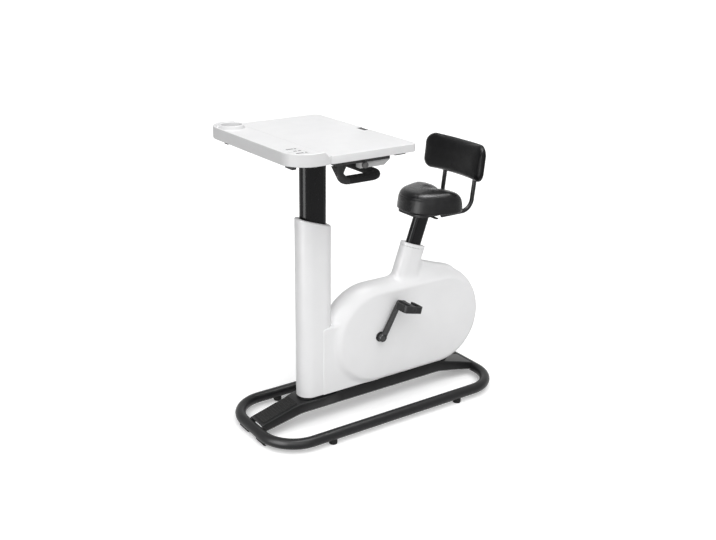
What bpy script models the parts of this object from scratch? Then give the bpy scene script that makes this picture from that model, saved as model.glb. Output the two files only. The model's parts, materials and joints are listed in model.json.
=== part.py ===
"""Desk exercise bike, modelled piece by piece in metres with +Z up.

The rider faces -X, so the rider's left is -Y.  The origin is on the floor under the
middle of the base ring.  Each moving group has an empty on its joint's axis.
"""
from math import acos, asin, cos, hypot, pi, radians, sin, sqrt, tan

import bmesh
import bpy
from mathutils import Matrix, Vector

# Clearances
GAP = 0.0003
SLIDE_GAP = 0.0005
SHAFT_GAP = 0.0006
EDGE_GAP = 0.0015

# Base ring, feet and transport rollers
RING_HALF_LENGTH = 0.586
RING_HALF_WIDTH = 0.2304
RING_CORNER = 0.155
RING_TUBE_RADIUS = 0.023
RING_WALL = 0.002
RING_SIDES = 12
FOOT_HEIGHT = 0.0165
FOOT_RADIUS = 0.018
FOOT_X = RING_HALF_LENGTH - RING_CORNER - 0.096
RING_Z = FOOT_HEIGHT + RING_TUBE_RADIUS
ROLLER_RADIUS = 0.0107
ROLLER_LENGTH = 0.066
ROLLER_Y = 0.070
ROLLER_AXLE_RADIUS = 0.0036
ROLLER_AXLE_BEYOND = 0.012
ROLLER_AXLE_Z = FOOT_HEIGHT - GAP - ROLLER_AXLE_RADIUS
ROLLER_NOTCH_GAP = 0.001

# Spine beam
BEAM_TOP = 0.120
BEAM_BOTTOM = 0.068
BEAM_HALF_WIDTH = 0.050
BEAM_WALL = 0.0025
BEAM_FLAT_HALF_LENGTH = 0.372
BEAM_OVER_RING = 0.014
BEAM_END_RISE = 0.0045
BEAM_END_WRAP = 0.0095
BEAM_END_TOP = RING_Z + RING_TUBE_RADIUS + BEAM_END_RISE
BEAM_END_BOTTOM = RING_Z - BEAM_END_WRAP
BEAM_END_BEYOND = 0.003
BEAM_REAR_FLARE = 0.008
BEAM_REAR_FLARE_LENGTH = 0.092
FLANGE_MARGIN = 0.013
FLANGE_FRONT_RUN = 0.036
FLANGE_REAR_RUN = 0.016
FLANGE_FRONT_SHOULDER = (0.019, 0.003)
FLANGE_REAR_SHOULDER = (0.024, 0.004)
TREAD_HALF_WIDTH = 0.041
TREAD_THICKNESS = 0.002
TREAD_RIB_HEIGHT = 0.0015
TREAD_RIBS = 9
TREAD_FRONT_INSET = 0.012
TREAD_REAR_INSET = 0.020

# Desk column, from the inner column outwards
COLUMN_X = -0.286
INNER_HALF_LENGTH = 0.0585
INNER_HALF_WIDTH = 0.0315
INNER_WALL = 0.0025
INNER_BOTTOM = 0.460
BUSH_WALL = 0.009
BUSH_HEIGHT = 0.060
TUBE_WALL = 0.0025
TUBE_TOP = 0.862
TUBE_HALF_LENGTH = INNER_HALF_LENGTH + BUSH_WALL + TUBE_WALL
TUBE_HALF_WIDTH = INNER_HALF_WIDTH + BUSH_WALL + TUBE_WALL
COVER_ROOM = 0.006
COVER_WALL = 0.003
COVER_HALF_LENGTH = TUBE_HALF_LENGTH + COVER_ROOM + COVER_WALL
COVER_HALF_WIDTH = TUBE_HALF_WIDTH + COVER_ROOM + COVER_WALL
COVER_TOP = 0.9005
COVER_SLOPE = -0.324
FOOT_PLATE = 0.004
GAS_CYLINDER_RADIUS = 0.014
GAS_CYLINDER_TOP = 0.620
GAS_BORE_RADIUS = 0.0058
GAS_BORE_BOTTOM = 0.330
GAS_ROD_RADIUS = 0.005
GAS_ROD_INSIDE = 0.025
PLATE_Z = BEAM_TOP + GAP
PLATE_TOP = PLATE_Z + FOOT_PLATE
HOUSING_BOTTOM = PLATE_TOP + GAP

# Desk
DESK_HALF_WIDTH = 0.355
DESK_FRONT = -0.5836
DESK_REAR = -0.037
DESK_SEAM = -0.4262
DESK_SEAM_GAP = 0.002
DESK_TOP = 1.2567
DESK_THICKNESS = 0.029
DESK_FRONT_CORNER = 0.100
DESK_REAR_CORNER = 0.025
DESK_BOTTOM = DESK_TOP - DESK_THICKNESS
SEAM_CORNER = 0.002
TRAY_THICKNESS = 0.0307
TRAY_BOTTOM = DESK_TOP - TRAY_THICKNESS
TRAY_LIP_HEIGHT = 0.018
TRAY_LIP_WIDTH = 0.016
TRAY_LIP_END = DESK_SEAM - 0.0138
TRAY_FLOOR = 0.005
TRAY_WALL = 0.014
CUP_X = DESK_FRONT + 0.0886
CUP_Y = DESK_HALF_WIDTH - 0.070
CUP_RADIUS = 0.0425
CUP_DEPTH = 0.022
PANEL_X = DESK_FRONT + 0.0936
PANEL_Y = 0.140 - DESK_HALF_WIDTH
PANEL_LENGTH = 0.078
PANEL_WIDTH = 0.124
PANEL_THICKNESS = 0.004
BUTTON_LENGTH = 0.062
BUTTON_WIDTH = 0.020
BUTTON_PITCH = 0.0365
BUTTON_CORNER = 0.0035
BUTTON_TRAVEL = 0.0012

# Frame and rails under the desk
WELD = 0.001
HEAD_PLATE_THICKNESS = 0.005
HEAD_PLATE_HALF = (INNER_HALF_LENGTH + 0.0365, INNER_HALF_WIDTH + 0.0185)
RAIL_Y = DESK_HALF_WIDTH - 0.055
RAIL_HALF_WIDTH = 0.014
RAIL_LIP = 0.003
RAIL_FLOOR = 0.005
RAIL_HEIGHT = 0.0172
RAIL_TOP = DESK_BOTTOM - 0.0055
RAIL_BOTTOM = RAIL_TOP - RAIL_HEIGHT
RAIL_FRONT = COLUMN_X - 0.097
RAIL_REAR = COLUMN_X + 0.149
ARM_THICKNESS = 0.0045
ARM_HALF_WIDTH = 0.014
ARM_PLACES = (RAIL_Y - 0.094, 0.032 - RAIL_Y)
ARM_FRONT = DESK_FRONT + 0.0216
LUG_LENGTH = 0.018
LUG_DROP = 0.008
LUG_OUTSET = 0.022
BAR_HEIGHT = 0.0253
BAR_HALF_WIDTH = 0.015
BAR_WALL = 0.003
BAR_PLACES = (COLUMN_X - 0.059, COLUMN_X + 0.071)
BRACKET_FRONT = RAIL_REAR - 0.137
BRACKET_BOTTOM = RAIL_BOTTOM - 0.022
BRACKET_SLANT = 0.026
BRACKET_LIP = 0.002
KNOB_X = BRACKET_FRONT + 0.018
KNOB_Z = RAIL_BOTTOM - 0.009
KNOB_RADIUS = 0.0125
KNOB_DEPTH = 0.014

# Handlebar and the desk's two levers
HANDLEBAR_RADIUS = 0.017
HANDLEBAR_Z = RAIL_BOTTOM - 0.062
HANDLEBAR_REAR = RAIL_REAR - 0.032
HANDLEBAR_FRONT = RAIL_FRONT + 0.031
HANDLEBAR_CORNER = 0.045
STRUT_THICKNESS = 0.008
STRUT_TOP_X = (RAIL_FRONT, RAIL_FRONT + 0.067)
STRUT_FOOT_X = (RAIL_FRONT + 0.013, RAIL_FRONT + 0.047)
STRUT_FOOT_DROP = 0.0102
PADDLE_LENGTH = 0.029
PADDLE_HALF_WIDTH = 0.0285
PADDLE_Y = -0.0145
PADDLE_THICKNESS = 0.0075
PADDLE_PIVOT_INSET = 0.004
SLIDE_LEVER_X = RAIL_REAR + 0.020
SLIDE_LEVER_HALF_LENGTH = 0.025
SLIDE_LEVER_REACH = 0.032
SLIDE_LEVER_THICKNESS = 0.004
SLIDE_LEVER_GAP = 0.0008
SLIDE_LEVER_Y = -(RAIL_Y + RAIL_HALF_WIDTH + 0.006)
SLIDE_LEVER_PIVOT_INSET = 0.002

# Drive housing
CRANK_X = 0.0155
CRANK_Z = 0.341
FACE_RADIUS = 0.199
FACE_HALF_THICKNESS = 0.070
CROWN = 0.036
CROWN_STEPS = 8
FACE_FRONT_X = 0.0145
CROWN_FRONT_X = -0.012
REAR_X = 0.366
HOUSING_WALL = 0.003
PLINTH_HALF_WIDTH = COVER_HALF_WIDTH + HOUSING_WALL
PLINTH_FRONT = COLUMN_X + 0.015
PLINTH_TOP = CRANK_Z + 0.095
PLINTH_TOP_FLAT = 0.020
WEB_HALF_WIDTH = 0.022
WEB_ROOT = 0.050
WEB_END = (REAR_X + 0.079, CRANK_Z + 0.225)
WEB_TOP = CRANK_Z + 0.282
WEB_CREST = 0.017
WEB_IN_SLEEVE = 0.020
AXLE_HOLE_RADIUS = 0.014

# Seat post and what it slides in, from the post outwards, in the post's own tilted frame
POST_X = 0.2365
POST_Z = 0.711
POST_TILT = radians(19.2)
SEAT_POST_HALF_LENGTH = 0.038
SEAT_POST_HALF_WIDTH = 0.020
SEAT_POST_WALL = 0.002
SEAT_POST_INSIDE = 0.320
SEAT_BUSH_WALL = 0.002
SEAT_BUSH_HEIGHT = 0.045
SEAT_TUBE_WALL = 0.002
SEAT_TUBE_SOLID_FOOT = 0.065
SEAT_TUBE_HALF_LENGTH = SEAT_POST_HALF_LENGTH + SEAT_BUSH_WALL + SEAT_TUBE_WALL
SEAT_TUBE_HALF_WIDTH = SEAT_POST_HALF_WIDTH + SEAT_BUSH_WALL + SEAT_TUBE_WALL
SLEEVE_HALF_LENGTH = SEAT_TUBE_HALF_LENGTH + 0.018
SLEEVE_HALF_WIDTH = SEAT_TUBE_HALF_WIDTH + 0.014
SLEEVE_LENGTH = 0.300
COLLAR_HEIGHT = 0.014
COLLAR_LIP = 0.001
COLLAR_CAP = 0.004

# Drive train and the welded frame that holds it
AXLE_RADIUS = 0.0085
BEARING_RADIUS = 0.018
BEARING_WIDTH = 0.010
BEARING_INSET = 0.001
SHELL_WALL = 0.004
SHELL_LEFT = -0.045
SHELL_RIGHT = SEAT_TUBE_HALF_WIDTH
SHELL_ARM = (0.080, 0.012, 0.013)
FRAME_FRONT_GAP = 0.006
FRAME_STEP_X = (CRANK_X - 0.1055, CRANK_X - 0.0655)
FRAME_STEP = 0.006
FRAME_REAR = REAR_X + 0.082
FRAME_REAR_TAPER = 0.048
FRAME_REAR_HALF_WIDTH = 0.030
PULLEY_RADIUS = 0.110
PULLEY_LEFT = SHELL_RIGHT + 0.002
PULLEY_WIDTH = 0.012
PULLEY_RIM = 0.006
PULLEY_WEB = 0.004
PULLEY_HUB = 0.012
BELT_THICKNESS = 0.0025
BELT_INSET = 0.001
FLYWHEEL_X = REAR_X - 0.006
FLYWHEEL_Z = CRANK_Z - 0.041
FLYWHEEL_RADIUS = 0.130
FLYWHEEL_RIM = 0.030
FLYWHEEL_HALF_WIDTH = 0.014
FLYWHEEL_WEB_HALF = 0.004
FLYWHEEL_Y = -0.010
FLYWHEEL_PULLEY_RADIUS = 0.018
FLYWHEEL_PULLEY_BEYOND = 0.002
FLYWHEEL_AXLE_RADIUS = 0.006
FLYWHEEL_AXLE_BEYOND = 0.004
UPRIGHT_THICKNESS = 0.004
UPRIGHT_HALF_WIDTH = 0.015
UPRIGHT_RISE = 0.020
UPRIGHT_ROOM = (0.006, 0.0035)
MAGNET_X = FLYWHEEL_X - 0.085
MAGNET_HALF_LENGTH = 0.020
MAGNET_WALL = 0.006
MAGNET_CLEARANCE = 0.002
MAGNET_FLOOR_CLEARANCE = 0.004

# Cranks and pedals
TRIM_RADIUS = 0.023
TRIM_THICKNESS = 0.006
TRIM_CLEARANCE = 0.002
CRANK_LENGTH = 0.170
CRANK_ANGLE = radians(60.4)
CRANK_THICKNESS = 0.013
CRANK_HALF_WIDTH = 0.010
BOSS_RADIUS = 0.018
BOSS_CLEARANCE = 0.0015
CRANK_OUTER = 0.097
SOCKET_FLOOR = 0.003
SPINDLE_RADIUS = 0.006
SPINDLE_LENGTH = 0.100
SPINDLE_ROOT = 0.002
PEDAL_LENGTH = 0.096
PEDAL_WIDTH = 0.096
PEDAL_THICKNESS = 0.030
PEDAL_BAR = 0.010
PEDAL_CORNER = 0.013
PEDAL_INNER_CUT = (0.020, 0.032)
PEDAL_BARREL = 0.014
PEDAL_BARREL_BEYOND = 0.001
PEDAL_MIDDLE_BAR = 0.0104
PEDAL_CLEARANCE = 0.005
PEDAL_TILT = radians(-14)

# Seat and backrest
PAN_BOTTOM = 0.850
PAN_THICKNESS = 0.012
POST_TOP_X = POST_X + (PAN_BOTTOM - POST_Z) * tan(POST_TILT)
BACK_BAR_RADIUS = 0.0095
BACK_BAR_Y = 0.100
BACK_BAR_FRONT = POST_TOP_X + 0.021
BACK_BAR_X = POST_TOP_X + 0.201
BACK_BAR_BEND = 0.055
BACK_BAR_RISE = 0.0024
BACK_TILT = radians(5.5)
BACK_TILT_Z = PAN_BOTTOM + 0.080
BACK_PLATE = (0.0045, 0.260, 0.110)
PAN_FRONT = POST_TOP_X - 0.090
PAN_REAR = POST_TOP_X + 0.110
PAN_CORNERS = (0.050, 0.030)
PAN_HALF_WIDTH = BACK_BAR_Y - BACK_BAR_RADIUS - GAP
CUSHION_FRONT = POST_TOP_X - 0.133
CUSHION_REAR = POST_TOP_X + 0.135
CUSHION_HALF_WIDTH = 0.145
CUSHION_NOSE_HALF_WIDTH = 0.062
CUSHION_BOTTOM = PAN_BOTTOM + PAN_THICKNESS + GAP
CUSHION_RISE = 0.0947
CUSHION_LEVELS = ((0, 0.955), (0.15, 1.0), (0.55, 0.985), (0.80, 0.90), (0.94, 0.74), (1.0, 0.5))
NOSE_PLAN = ((0, 0.35), (0.008, 0.75), (0.030, 1.0), (0.080, 1.35))
LOBE_PLAN = ((0.140, 0.90), (0.095, 1.0), (0.045, 0.97), (0.012, 0.80), (0, 0.50))
REAR_NOTCH = (0.006, 0.020)
PAD_HALF_WIDTH = 0.205
PAD_HEIGHT = 0.172
PAD_THICKNESS = 0.038
PAD_SWEEP = 0.016
PAD_Z = PAN_BOTTOM + 0.228
SEAT_LEVER_X = POST_TOP_X + 0.005
SEAT_LEVER_HALF_LENGTH = 0.007
SEAT_LEVER_REACH = 0.075
SEAT_LEVER_THICKNESS = 0.0055
SEAT_LEVER_DROP = 0.0085
SEAT_LEVER_PIVOT_INSET = 0.0095

POST_FRAME = Matrix.Translation((POST_X, 0, POST_Z)) @ Matrix.Rotation(POST_TILT, 4, "Y")

BLACK_STEEL = ((0.025, 0.025, 0.028), 0.45, 0.0)
WHITE_SHELL = ((0.85, 0.85, 0.85), 0.35, 0.0)
WHITE_DESK = ((0.88, 0.88, 0.88), 0.5, 0.0)
BLACK_PLASTIC = ((0.02, 0.02, 0.022), 0.5, 0.0)
GREY_PLASTIC = ((0.45, 0.45, 0.45), 0.5, 0.0)
RUBBER = ((0.015, 0.015, 0.015), 0.85, 0.0)
BARE_STEEL = ((0.55, 0.55, 0.56), 0.3, 1.0)
CAST_IRON = ((0.12, 0.12, 0.13), 0.6, 0.8)
LEATHER = ((0.03, 0.03, 0.032), 0.4, 0.0)


# Scene and shape helpers

def clear_scene():
    for item in list(bpy.data.objects):
        bpy.data.objects.remove(item, do_unlink=True)


def collection_named(name):
    group = bpy.data.collections.get(name)
    if group is None:
        group = bpy.data.collections.new(name)
        bpy.context.scene.collection.children.link(group)
    return group


def move_to(item, group):
    for old in list(item.users_collection):
        old.objects.unlink(item)
    group.objects.link(item)


def new_object(mesh):
    item = bpy.data.objects.new(mesh.name, mesh)
    collection_named("workshop").objects.link(item)
    return item


def from_bmesh(form, name):
    form.normal_update()
    bmesh.ops.recalc_face_normals(form, faces=form.faces)
    mesh = bpy.data.meshes.new(name)
    form.to_mesh(mesh)
    form.free()
    return new_object(mesh)


def baked(item, name="baked"):
    """Turn an object with its modifiers, or a curve, into one plain closed mesh."""
    bpy.context.view_layer.update()
    evaluated = item.evaluated_get(bpy.context.evaluated_depsgraph_get())
    mesh = bpy.data.meshes.new_from_object(evaluated)
    mesh.transform(item.matrix_world)
    form = bmesh.new()
    form.from_mesh(mesh)
    bmesh.ops.remove_doubles(form, verts=form.verts, dist=1e-6)
    bpy.data.objects.remove(item, do_unlink=True)
    return from_bmesh(form, name)


def new_material(name, finish):
    colour, roughness, metallic = finish
    material = bpy.data.materials.new(name + "_finish")
    material.use_nodes = True
    shader = material.node_tree.nodes["Principled BSDF"]
    shader.inputs["Base Color"].default_value = (*colour, 1.0)
    shader.inputs["Roughness"].default_value = roughness
    shader.inputs["Metallic"].default_value = metallic
    return material


def add_part(item, name, finish, joint=None):
    """Name a piece, give it its material and hang it on its joint's empty."""
    item.name = name
    item.data.name = name
    item.data.materials.clear()
    item.data.materials.append(new_material(name, finish))
    item.data.shade_smooth()
    item.data.set_sharp_from_angle(angle=radians(35))
    move_to(item, collection_named("desk_exercise_bike"))
    if joint is not None:
        item.parent = joint
        item.matrix_parent_inverse = Matrix.Translation(joint["place"]).inverted()
    return item


def add_joint(name, place, parent=None):
    empty = bpy.data.objects.new(name, None)
    empty.location = place
    empty["place"] = Vector(place)
    collection_named("desk_exercise_bike").objects.link(empty)
    if parent is not None:
        empty.parent = parent
        empty.matrix_parent_inverse = Matrix.Translation(parent["place"]).inverted()
    return empty


def combine(target, others, operation):
    for other in others:
        modifier = target.modifiers.new(operation.lower(), "BOOLEAN")
        modifier.operation = operation
        modifier.solver = "EXACT"
        modifier.object = other
        other.display_type = "WIRE"
        other.hide_render = True
        move_to(other, collection_named("cutters"))
    return target


def cut(target, *others):
    return combine(target, others, "DIFFERENCE")


def join(target, *others):
    return combine(target, others, "UNION")


def keep_inside(target, *others):
    return combine(target, others, "INTERSECT")


def block(low, high):
    form = bmesh.new()
    bmesh.ops.create_cube(form, size=1.0)
    size = [top - bottom for bottom, top in zip(low, high)]
    middle = [(top + bottom) / 2 for bottom, top in zip(low, high)]
    form.transform(Matrix.Translation(middle) @ Matrix.Diagonal((*size, 1.0)))
    return from_bmesh(form, "block")


def rod(start, end, radius, sides=20):
    start, end = Vector(start), Vector(end)
    form = bmesh.new()
    bmesh.ops.create_cone(form, cap_ends=True, segments=sides, radius1=radius,
                          radius2=radius, depth=(end - start).length)
    turn = (end - start).to_track_quat("Z", "Y").to_matrix().to_4x4()
    form.transform(Matrix.Translation((start + end) / 2) @ turn)
    return from_bmesh(form, "rod")


def cross_rod(x, z, left, right, radius, sides=24):
    """A cylinder across the bike, along Y."""
    return rod((x, left, z), (x, right, z), radius, sides)


def prism(outlines, low, high, plane="XY"):
    """A flat outline, with any holes, given a thickness along the plane's normal."""
    curve = bpy.data.curves.new("prism", "CURVE")
    curve.dimensions = "2D"
    curve.fill_mode = "BOTH"
    curve.extrude = (high - low) / 2
    for outline in outlines:
        spline = curve.splines.new("POLY")
        spline.points.add(len(outline) - 1)
        for point, (across, up) in zip(spline.points, outline):
            point.co = (across, up, 0, 1)
        spline.use_cyclic_u = True
    item = new_object_from_curve(curve)
    middle = (high + low) / 2
    if plane == "XZ":
        item.matrix_world = Matrix.Translation((0, middle, 0)) @ Matrix.Rotation(pi / 2, 4, "X")
    else:
        item.matrix_world = Matrix.Translation((0, 0, middle))
    return baked(item, "prism")


def new_object_from_curve(curve):
    item = bpy.data.objects.new("curve", curve)
    collection_named("workshop").objects.link(item)
    return item


def pipe(points, radius, sides=12, closed=False):
    curve = bpy.data.curves.new("pipe", "CURVE")
    curve.dimensions = "3D"
    curve.bevel_depth = radius
    curve.bevel_resolution = (sides - 4) // 2
    curve.use_fill_caps = not closed
    spline = curve.splines.new("POLY")
    spline.points.add(len(points) - 1)
    for point, place in zip(spline.points, points):
        point.co = (*place, 1)
    spline.use_cyclic_u = closed
    return baked(new_object_from_curve(curve), "pipe")


def turned(profile, x, z, steps=32):
    """A ring turned about a cross axis; the profile is (radius, y), outer side first."""
    form = bmesh.new()
    points = [form.verts.new((radius, 0, -y)) for radius, y in profile]
    for first, second in zip(points, points[1:] + points[:1]):
        form.edges.new((first, second))
    mesh = bpy.data.meshes.new("turned")
    form.to_mesh(mesh)
    form.free()
    item = new_object(mesh)
    screw = item.modifiers.new("turn", "SCREW")
    screw.steps = steps
    screw.render_steps = steps
    screw.merge_threshold = 0.00001
    screw.use_merge_vertices = True
    item.matrix_world = Matrix.Translation((x, 0, z)) @ Matrix.Rotation(pi / 2, 4, "X")
    return baked(item, "turned")


def ring(x, z, left, right, inner, outer, steps=32):
    return turned([(outer, right), (outer, left), (inner, left), (inner, right)], x, z, steps)


def arc(centre, radius, start, end, steps):
    angles = [radians(start + (end - start) * step / steps) for step in range(steps + 1)]
    return [(centre[0] + radius * cos(a), centre[1] + radius * sin(a)) for a in angles]


def obround(half_length, half_width, x=0.0, steps=8):
    reach = half_length - half_width
    rear = arc((x + reach, 0), half_width, -90, 90, steps)
    front = arc((x - reach, 0), half_width, 90, 270, steps)
    return rear + front


def rounded_outline(low, high, radii, steps=6):
    """A rectangle with its own corner radius at low x and at high x."""
    front, rear = radii
    rear_steps = 1 if rear < front / 4 else steps
    outline = arc((high[0] - rear, low[1] + rear), rear, -90, 0, rear_steps)
    outline += arc((high[0] - rear, high[1] - rear), rear, 0, 90, rear_steps)
    outline += arc((low[0] + front, high[1] - front), front, 90, 180, steps)
    outline += arc((low[0] + front, low[1] + front), front, 180, 270, steps)
    return outline


def mirrored(outline):
    """Close a half outline, given from front to rear at +Y, with its mirror image."""
    return outline + [(x, -y) for x, y in reversed(outline)]


def loft(rings):
    """Join rings of equal point count, one after another, with a flat cap at each end."""
    form = bmesh.new()
    rows = [[form.verts.new(point) for point in points] for points in rings]
    for lower, upper in zip(rows, rows[1:]):
        for here in range(len(lower)):
            after = (here + 1) % len(lower)
            form.faces.new((lower[here], lower[after], upper[after], upper[here]))
    form.faces.new(list(reversed(rows[0])))
    form.faces.new(rows[-1])
    return from_bmesh(form, "loft")


def slanted(item, slope, x):
    """Shear the top of an upright prism so that it falls by slope along X."""
    heights = [vertex.co.z for vertex in item.data.vertices]
    middle = (min(heights) + max(heights)) / 2
    for vertex in item.data.vertices:
        if vertex.co.z > middle:
            vertex.co.z += slope * (vertex.co.x - x)
    return item


def tilted(item, frame=POST_FRAME):
    item.data.transform(frame)
    return item


# Base

def ring_path():
    straight_x = RING_HALF_LENGTH - RING_CORNER
    straight_y = RING_HALF_WIDTH - RING_CORNER
    corners = ((straight_x, -straight_y, -90), (straight_x, straight_y, 0),
               (-straight_x, straight_y, 90), (-straight_x, -straight_y, 180))
    points = []
    for x, y, start in corners:
        points += arc((x, y), RING_CORNER, start, start + 90, 6)
    return [(x, y, RING_Z) for x, y in points]


def ring_tube_cutter(x):
    """The straight end run of the ring, a gap larger, to fit pieces around it."""
    ends = [(x, -0.1, RING_Z), (x, 0.1, RING_Z)]
    return pipe(ends, RING_TUBE_RADIUS + GAP, RING_SIDES)


def build_ring():
    outer = pipe(ring_path(), RING_TUBE_RADIUS, RING_SIDES, closed=True)
    hollow = pipe(ring_path(), RING_TUBE_RADIUS - RING_WALL, RING_SIDES, closed=True)
    cut(outer, hollow)
    notch = ROLLER_RADIUS + ROLLER_NOTCH_GAP
    half = ROLLER_LENGTH / 2 + ROLLER_NOTCH_GAP
    for y in (-ROLLER_Y, ROLLER_Y):
        cut(outer, cross_rod(-RING_HALF_LENGTH, ROLLER_AXLE_Z, y - half, y + half, notch))
    add_part(outer, "base_ring", BLACK_STEEL)


def build_feet():
    places = {"foot_front_left": (-FOOT_X, -1), "foot_front_right": (-FOOT_X, 1),
              "foot_rear_left": (FOOT_X, -1), "foot_rear_right": (FOOT_X, 1)}
    for name, (x, side) in places.items():
        y = side * RING_HALF_WIDTH
        foot = rod((x, y, 0), (x, y, RING_Z - RING_TUBE_RADIUS / 2), FOOT_RADIUS)
        reach = FOOT_RADIUS * 2
        tube = pipe([(x - reach, y, RING_Z), (x + reach, y, RING_Z)],
                    RING_TUBE_RADIUS + GAP, RING_SIDES)
        add_part(cut(foot, tube), name, RUBBER)


def build_rollers(joints):
    end = ROLLER_Y + ROLLER_LENGTH / 2 + ROLLER_AXLE_BEYOND
    axle = cross_rod(-RING_HALF_LENGTH, ROLLER_AXLE_Z, -end, end, ROLLER_AXLE_RADIUS, 12)
    add_part(axle, "roller_axle", BARE_STEEL)
    for name, y in (("roller_left", -ROLLER_Y), ("roller_right", ROLLER_Y)):
        half = ROLLER_LENGTH / 2
        wheel = ring(-RING_HALF_LENGTH, ROLLER_AXLE_Z, y - half, y + half,
                     ROLLER_AXLE_RADIUS + SHAFT_GAP, ROLLER_RADIUS, 16)
        add_part(wheel, name, RUBBER, joints[name])


def beam_end_x():
    return RING_HALF_LENGTH - BEAM_OVER_RING


def beam_top(x):
    """Height of the beam's top face: flat in the middle, a ramp at each end."""
    run = max(abs(x) - BEAM_FLAT_HALF_LENGTH, 0)
    slope = (BEAM_TOP - BEAM_END_TOP) / (beam_end_x() - BEAM_FLAT_HALF_LENGTH)
    return BEAM_TOP - run * slope


def beam_plan(inset):
    """Plan of the beam: narrow, with a flange that follows the column's foot."""
    flange = COVER_HALF_WIDTH + FLANGE_MARGIN
    bend = COVER_HALF_LENGTH - COVER_HALF_WIDTH
    front, rear = COLUMN_X - COVER_HALF_LENGTH, COLUMN_X + COVER_HALF_LENGTH
    front_in, front_slim = FLANGE_FRONT_SHOULDER
    rear_in, rear_slim = FLANGE_REAR_SHOULDER
    end = beam_end_x() + BEAM_END_BEYOND
    half = [(inset - end, BEAM_HALF_WIDTH), (front - FLANGE_FRONT_RUN, BEAM_HALF_WIDTH),
            (front + front_in, flange - front_slim), (COLUMN_X - bend, flange),
            (COLUMN_X + bend, flange), (rear - rear_in, flange - rear_slim),
            (rear + FLANGE_REAR_RUN, BEAM_HALF_WIDTH),
            (end - BEAM_END_BEYOND - BEAM_REAR_FLARE_LENGTH, BEAM_HALF_WIDTH),
            (end - inset, BEAM_HALF_WIDTH + BEAM_REAR_FLARE)]
    return mirrored([(x, y - inset) for x, y in half])


def build_beam():
    end = beam_end_x()
    flat = BEAM_FLAT_HALF_LENGTH
    profile = [(-end, BEAM_END_TOP), (-flat, BEAM_TOP), (flat, BEAM_TOP),
               (end, BEAM_END_TOP), (end, BEAM_END_BOTTOM), (flat, BEAM_BOTTOM),
               (-flat, BEAM_BOTTOM), (-end, BEAM_END_BOTTOM)]
    width = BEAM_HALF_WIDTH * 2
    beam = prism([profile], -width, width, "XZ")
    keep_inside(beam, prism([beam_plan(0)], 0, BEAM_TOP * 2))
    room = end - BEAM_OVER_RING * 2
    drop = BEAM_WALL * 1.1
    hollow = [(-room, beam_top(room) - drop), (-flat, BEAM_TOP - drop),
              (flat, BEAM_TOP - drop), (room, beam_top(room) - drop),
              (room, 0), (-room, 0)]
    inside = prism([hollow], -width, width, "XZ")
    keep_inside(inside, prism([beam_plan(BEAM_WALL)], -BEAM_TOP, BEAM_TOP * 2))
    cut(beam, inside, ring_tube_cutter(-RING_HALF_LENGTH), ring_tube_cutter(RING_HALF_LENGTH))
    add_part(beam, "spine_beam", BLACK_STEEL)


def build_tread():
    """A ribbed mat on the front ramp, drawn as one toothed side profile."""
    front = TREAD_FRONT_INSET - beam_end_x()
    rear = -BEAM_FLAT_HALF_LENGTH - TREAD_REAR_INSET
    pitch = (rear - front) / (2 * TREAD_RIBS + 1)
    lower = [(front, beam_top(front) + GAP), (rear, beam_top(rear) + GAP)]
    upper = []
    for step in range(2 * TREAD_RIBS + 2):
        x = front + step * pitch
        valley = beam_top(x) + GAP + TREAD_THICKNESS
        crest = valley + TREAD_RIB_HEIGHT
        upper += [(x, valley), (x, crest)] if step % 2 else [(x, crest), (x, valley)]
    outline = lower + list(reversed(upper[1:-1]))
    mat = prism([outline], -TREAD_HALF_WIDTH, TREAD_HALF_WIDTH, "XZ")
    add_part(mat, "tread_mat", RUBBER)


# Desk column

def obround_prism(half_length, half_width, low, high, x=COLUMN_X, steps=8):
    return prism([obround(half_length, half_width, x, steps)], low, high)


def build_column():
    tube = prism([obround(TUBE_HALF_LENGTH, TUBE_HALF_WIDTH, COLUMN_X),
                  obround(TUBE_HALF_LENGTH - TUBE_WALL, TUBE_HALF_WIDTH - TUBE_WALL, COLUMN_X)],
                 PLATE_Z + FOOT_PLATE / 2, TUBE_TOP)
    foot = obround_prism(COVER_HALF_LENGTH - EDGE_GAP, COVER_HALF_WIDTH - EDGE_GAP,
                         PLATE_Z, PLATE_TOP)
    add_part(join(tube, foot), "column_tube", BLACK_STEEL)

    cover = obround_prism(COVER_HALF_LENGTH, COVER_HALF_WIDTH, HOUSING_BOTTOM, COVER_TOP,
                          steps=12)
    cavity = obround_prism(COVER_HALF_LENGTH - COVER_WALL, COVER_HALF_WIDTH - COVER_WALL,
                           0, COVER_TOP - COVER_WALL, steps=12)
    hole = obround_prism(INNER_HALF_LENGTH + EDGE_GAP, INNER_HALF_WIDTH + EDGE_GAP,
                         TUBE_TOP / 2, COVER_TOP * 2)
    slanted(cover, COVER_SLOPE, COLUMN_X)
    slanted(cavity, COVER_SLOPE, COLUMN_X)
    add_part(cut(cover, cavity, hole), "column_cover", WHITE_SHELL)

    bush = prism([obround(TUBE_HALF_LENGTH - TUBE_WALL - GAP,
                          TUBE_HALF_WIDTH - TUBE_WALL - GAP, COLUMN_X),
                  obround(INNER_HALF_LENGTH + GAP, INNER_HALF_WIDTH + GAP, COLUMN_X)],
                 TUBE_TOP - BUSH_HEIGHT, TUBE_TOP)
    add_part(bush, "column_bush", BLACK_PLASTIC)


def head_plate_z():
    """Underside of the desk's head plate, on top of the inner column."""
    return TRAY_BOTTOM - GAP - ARM_THICKNESS - BAR_HEIGHT - HEAD_PLATE_THICKNESS


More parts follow.
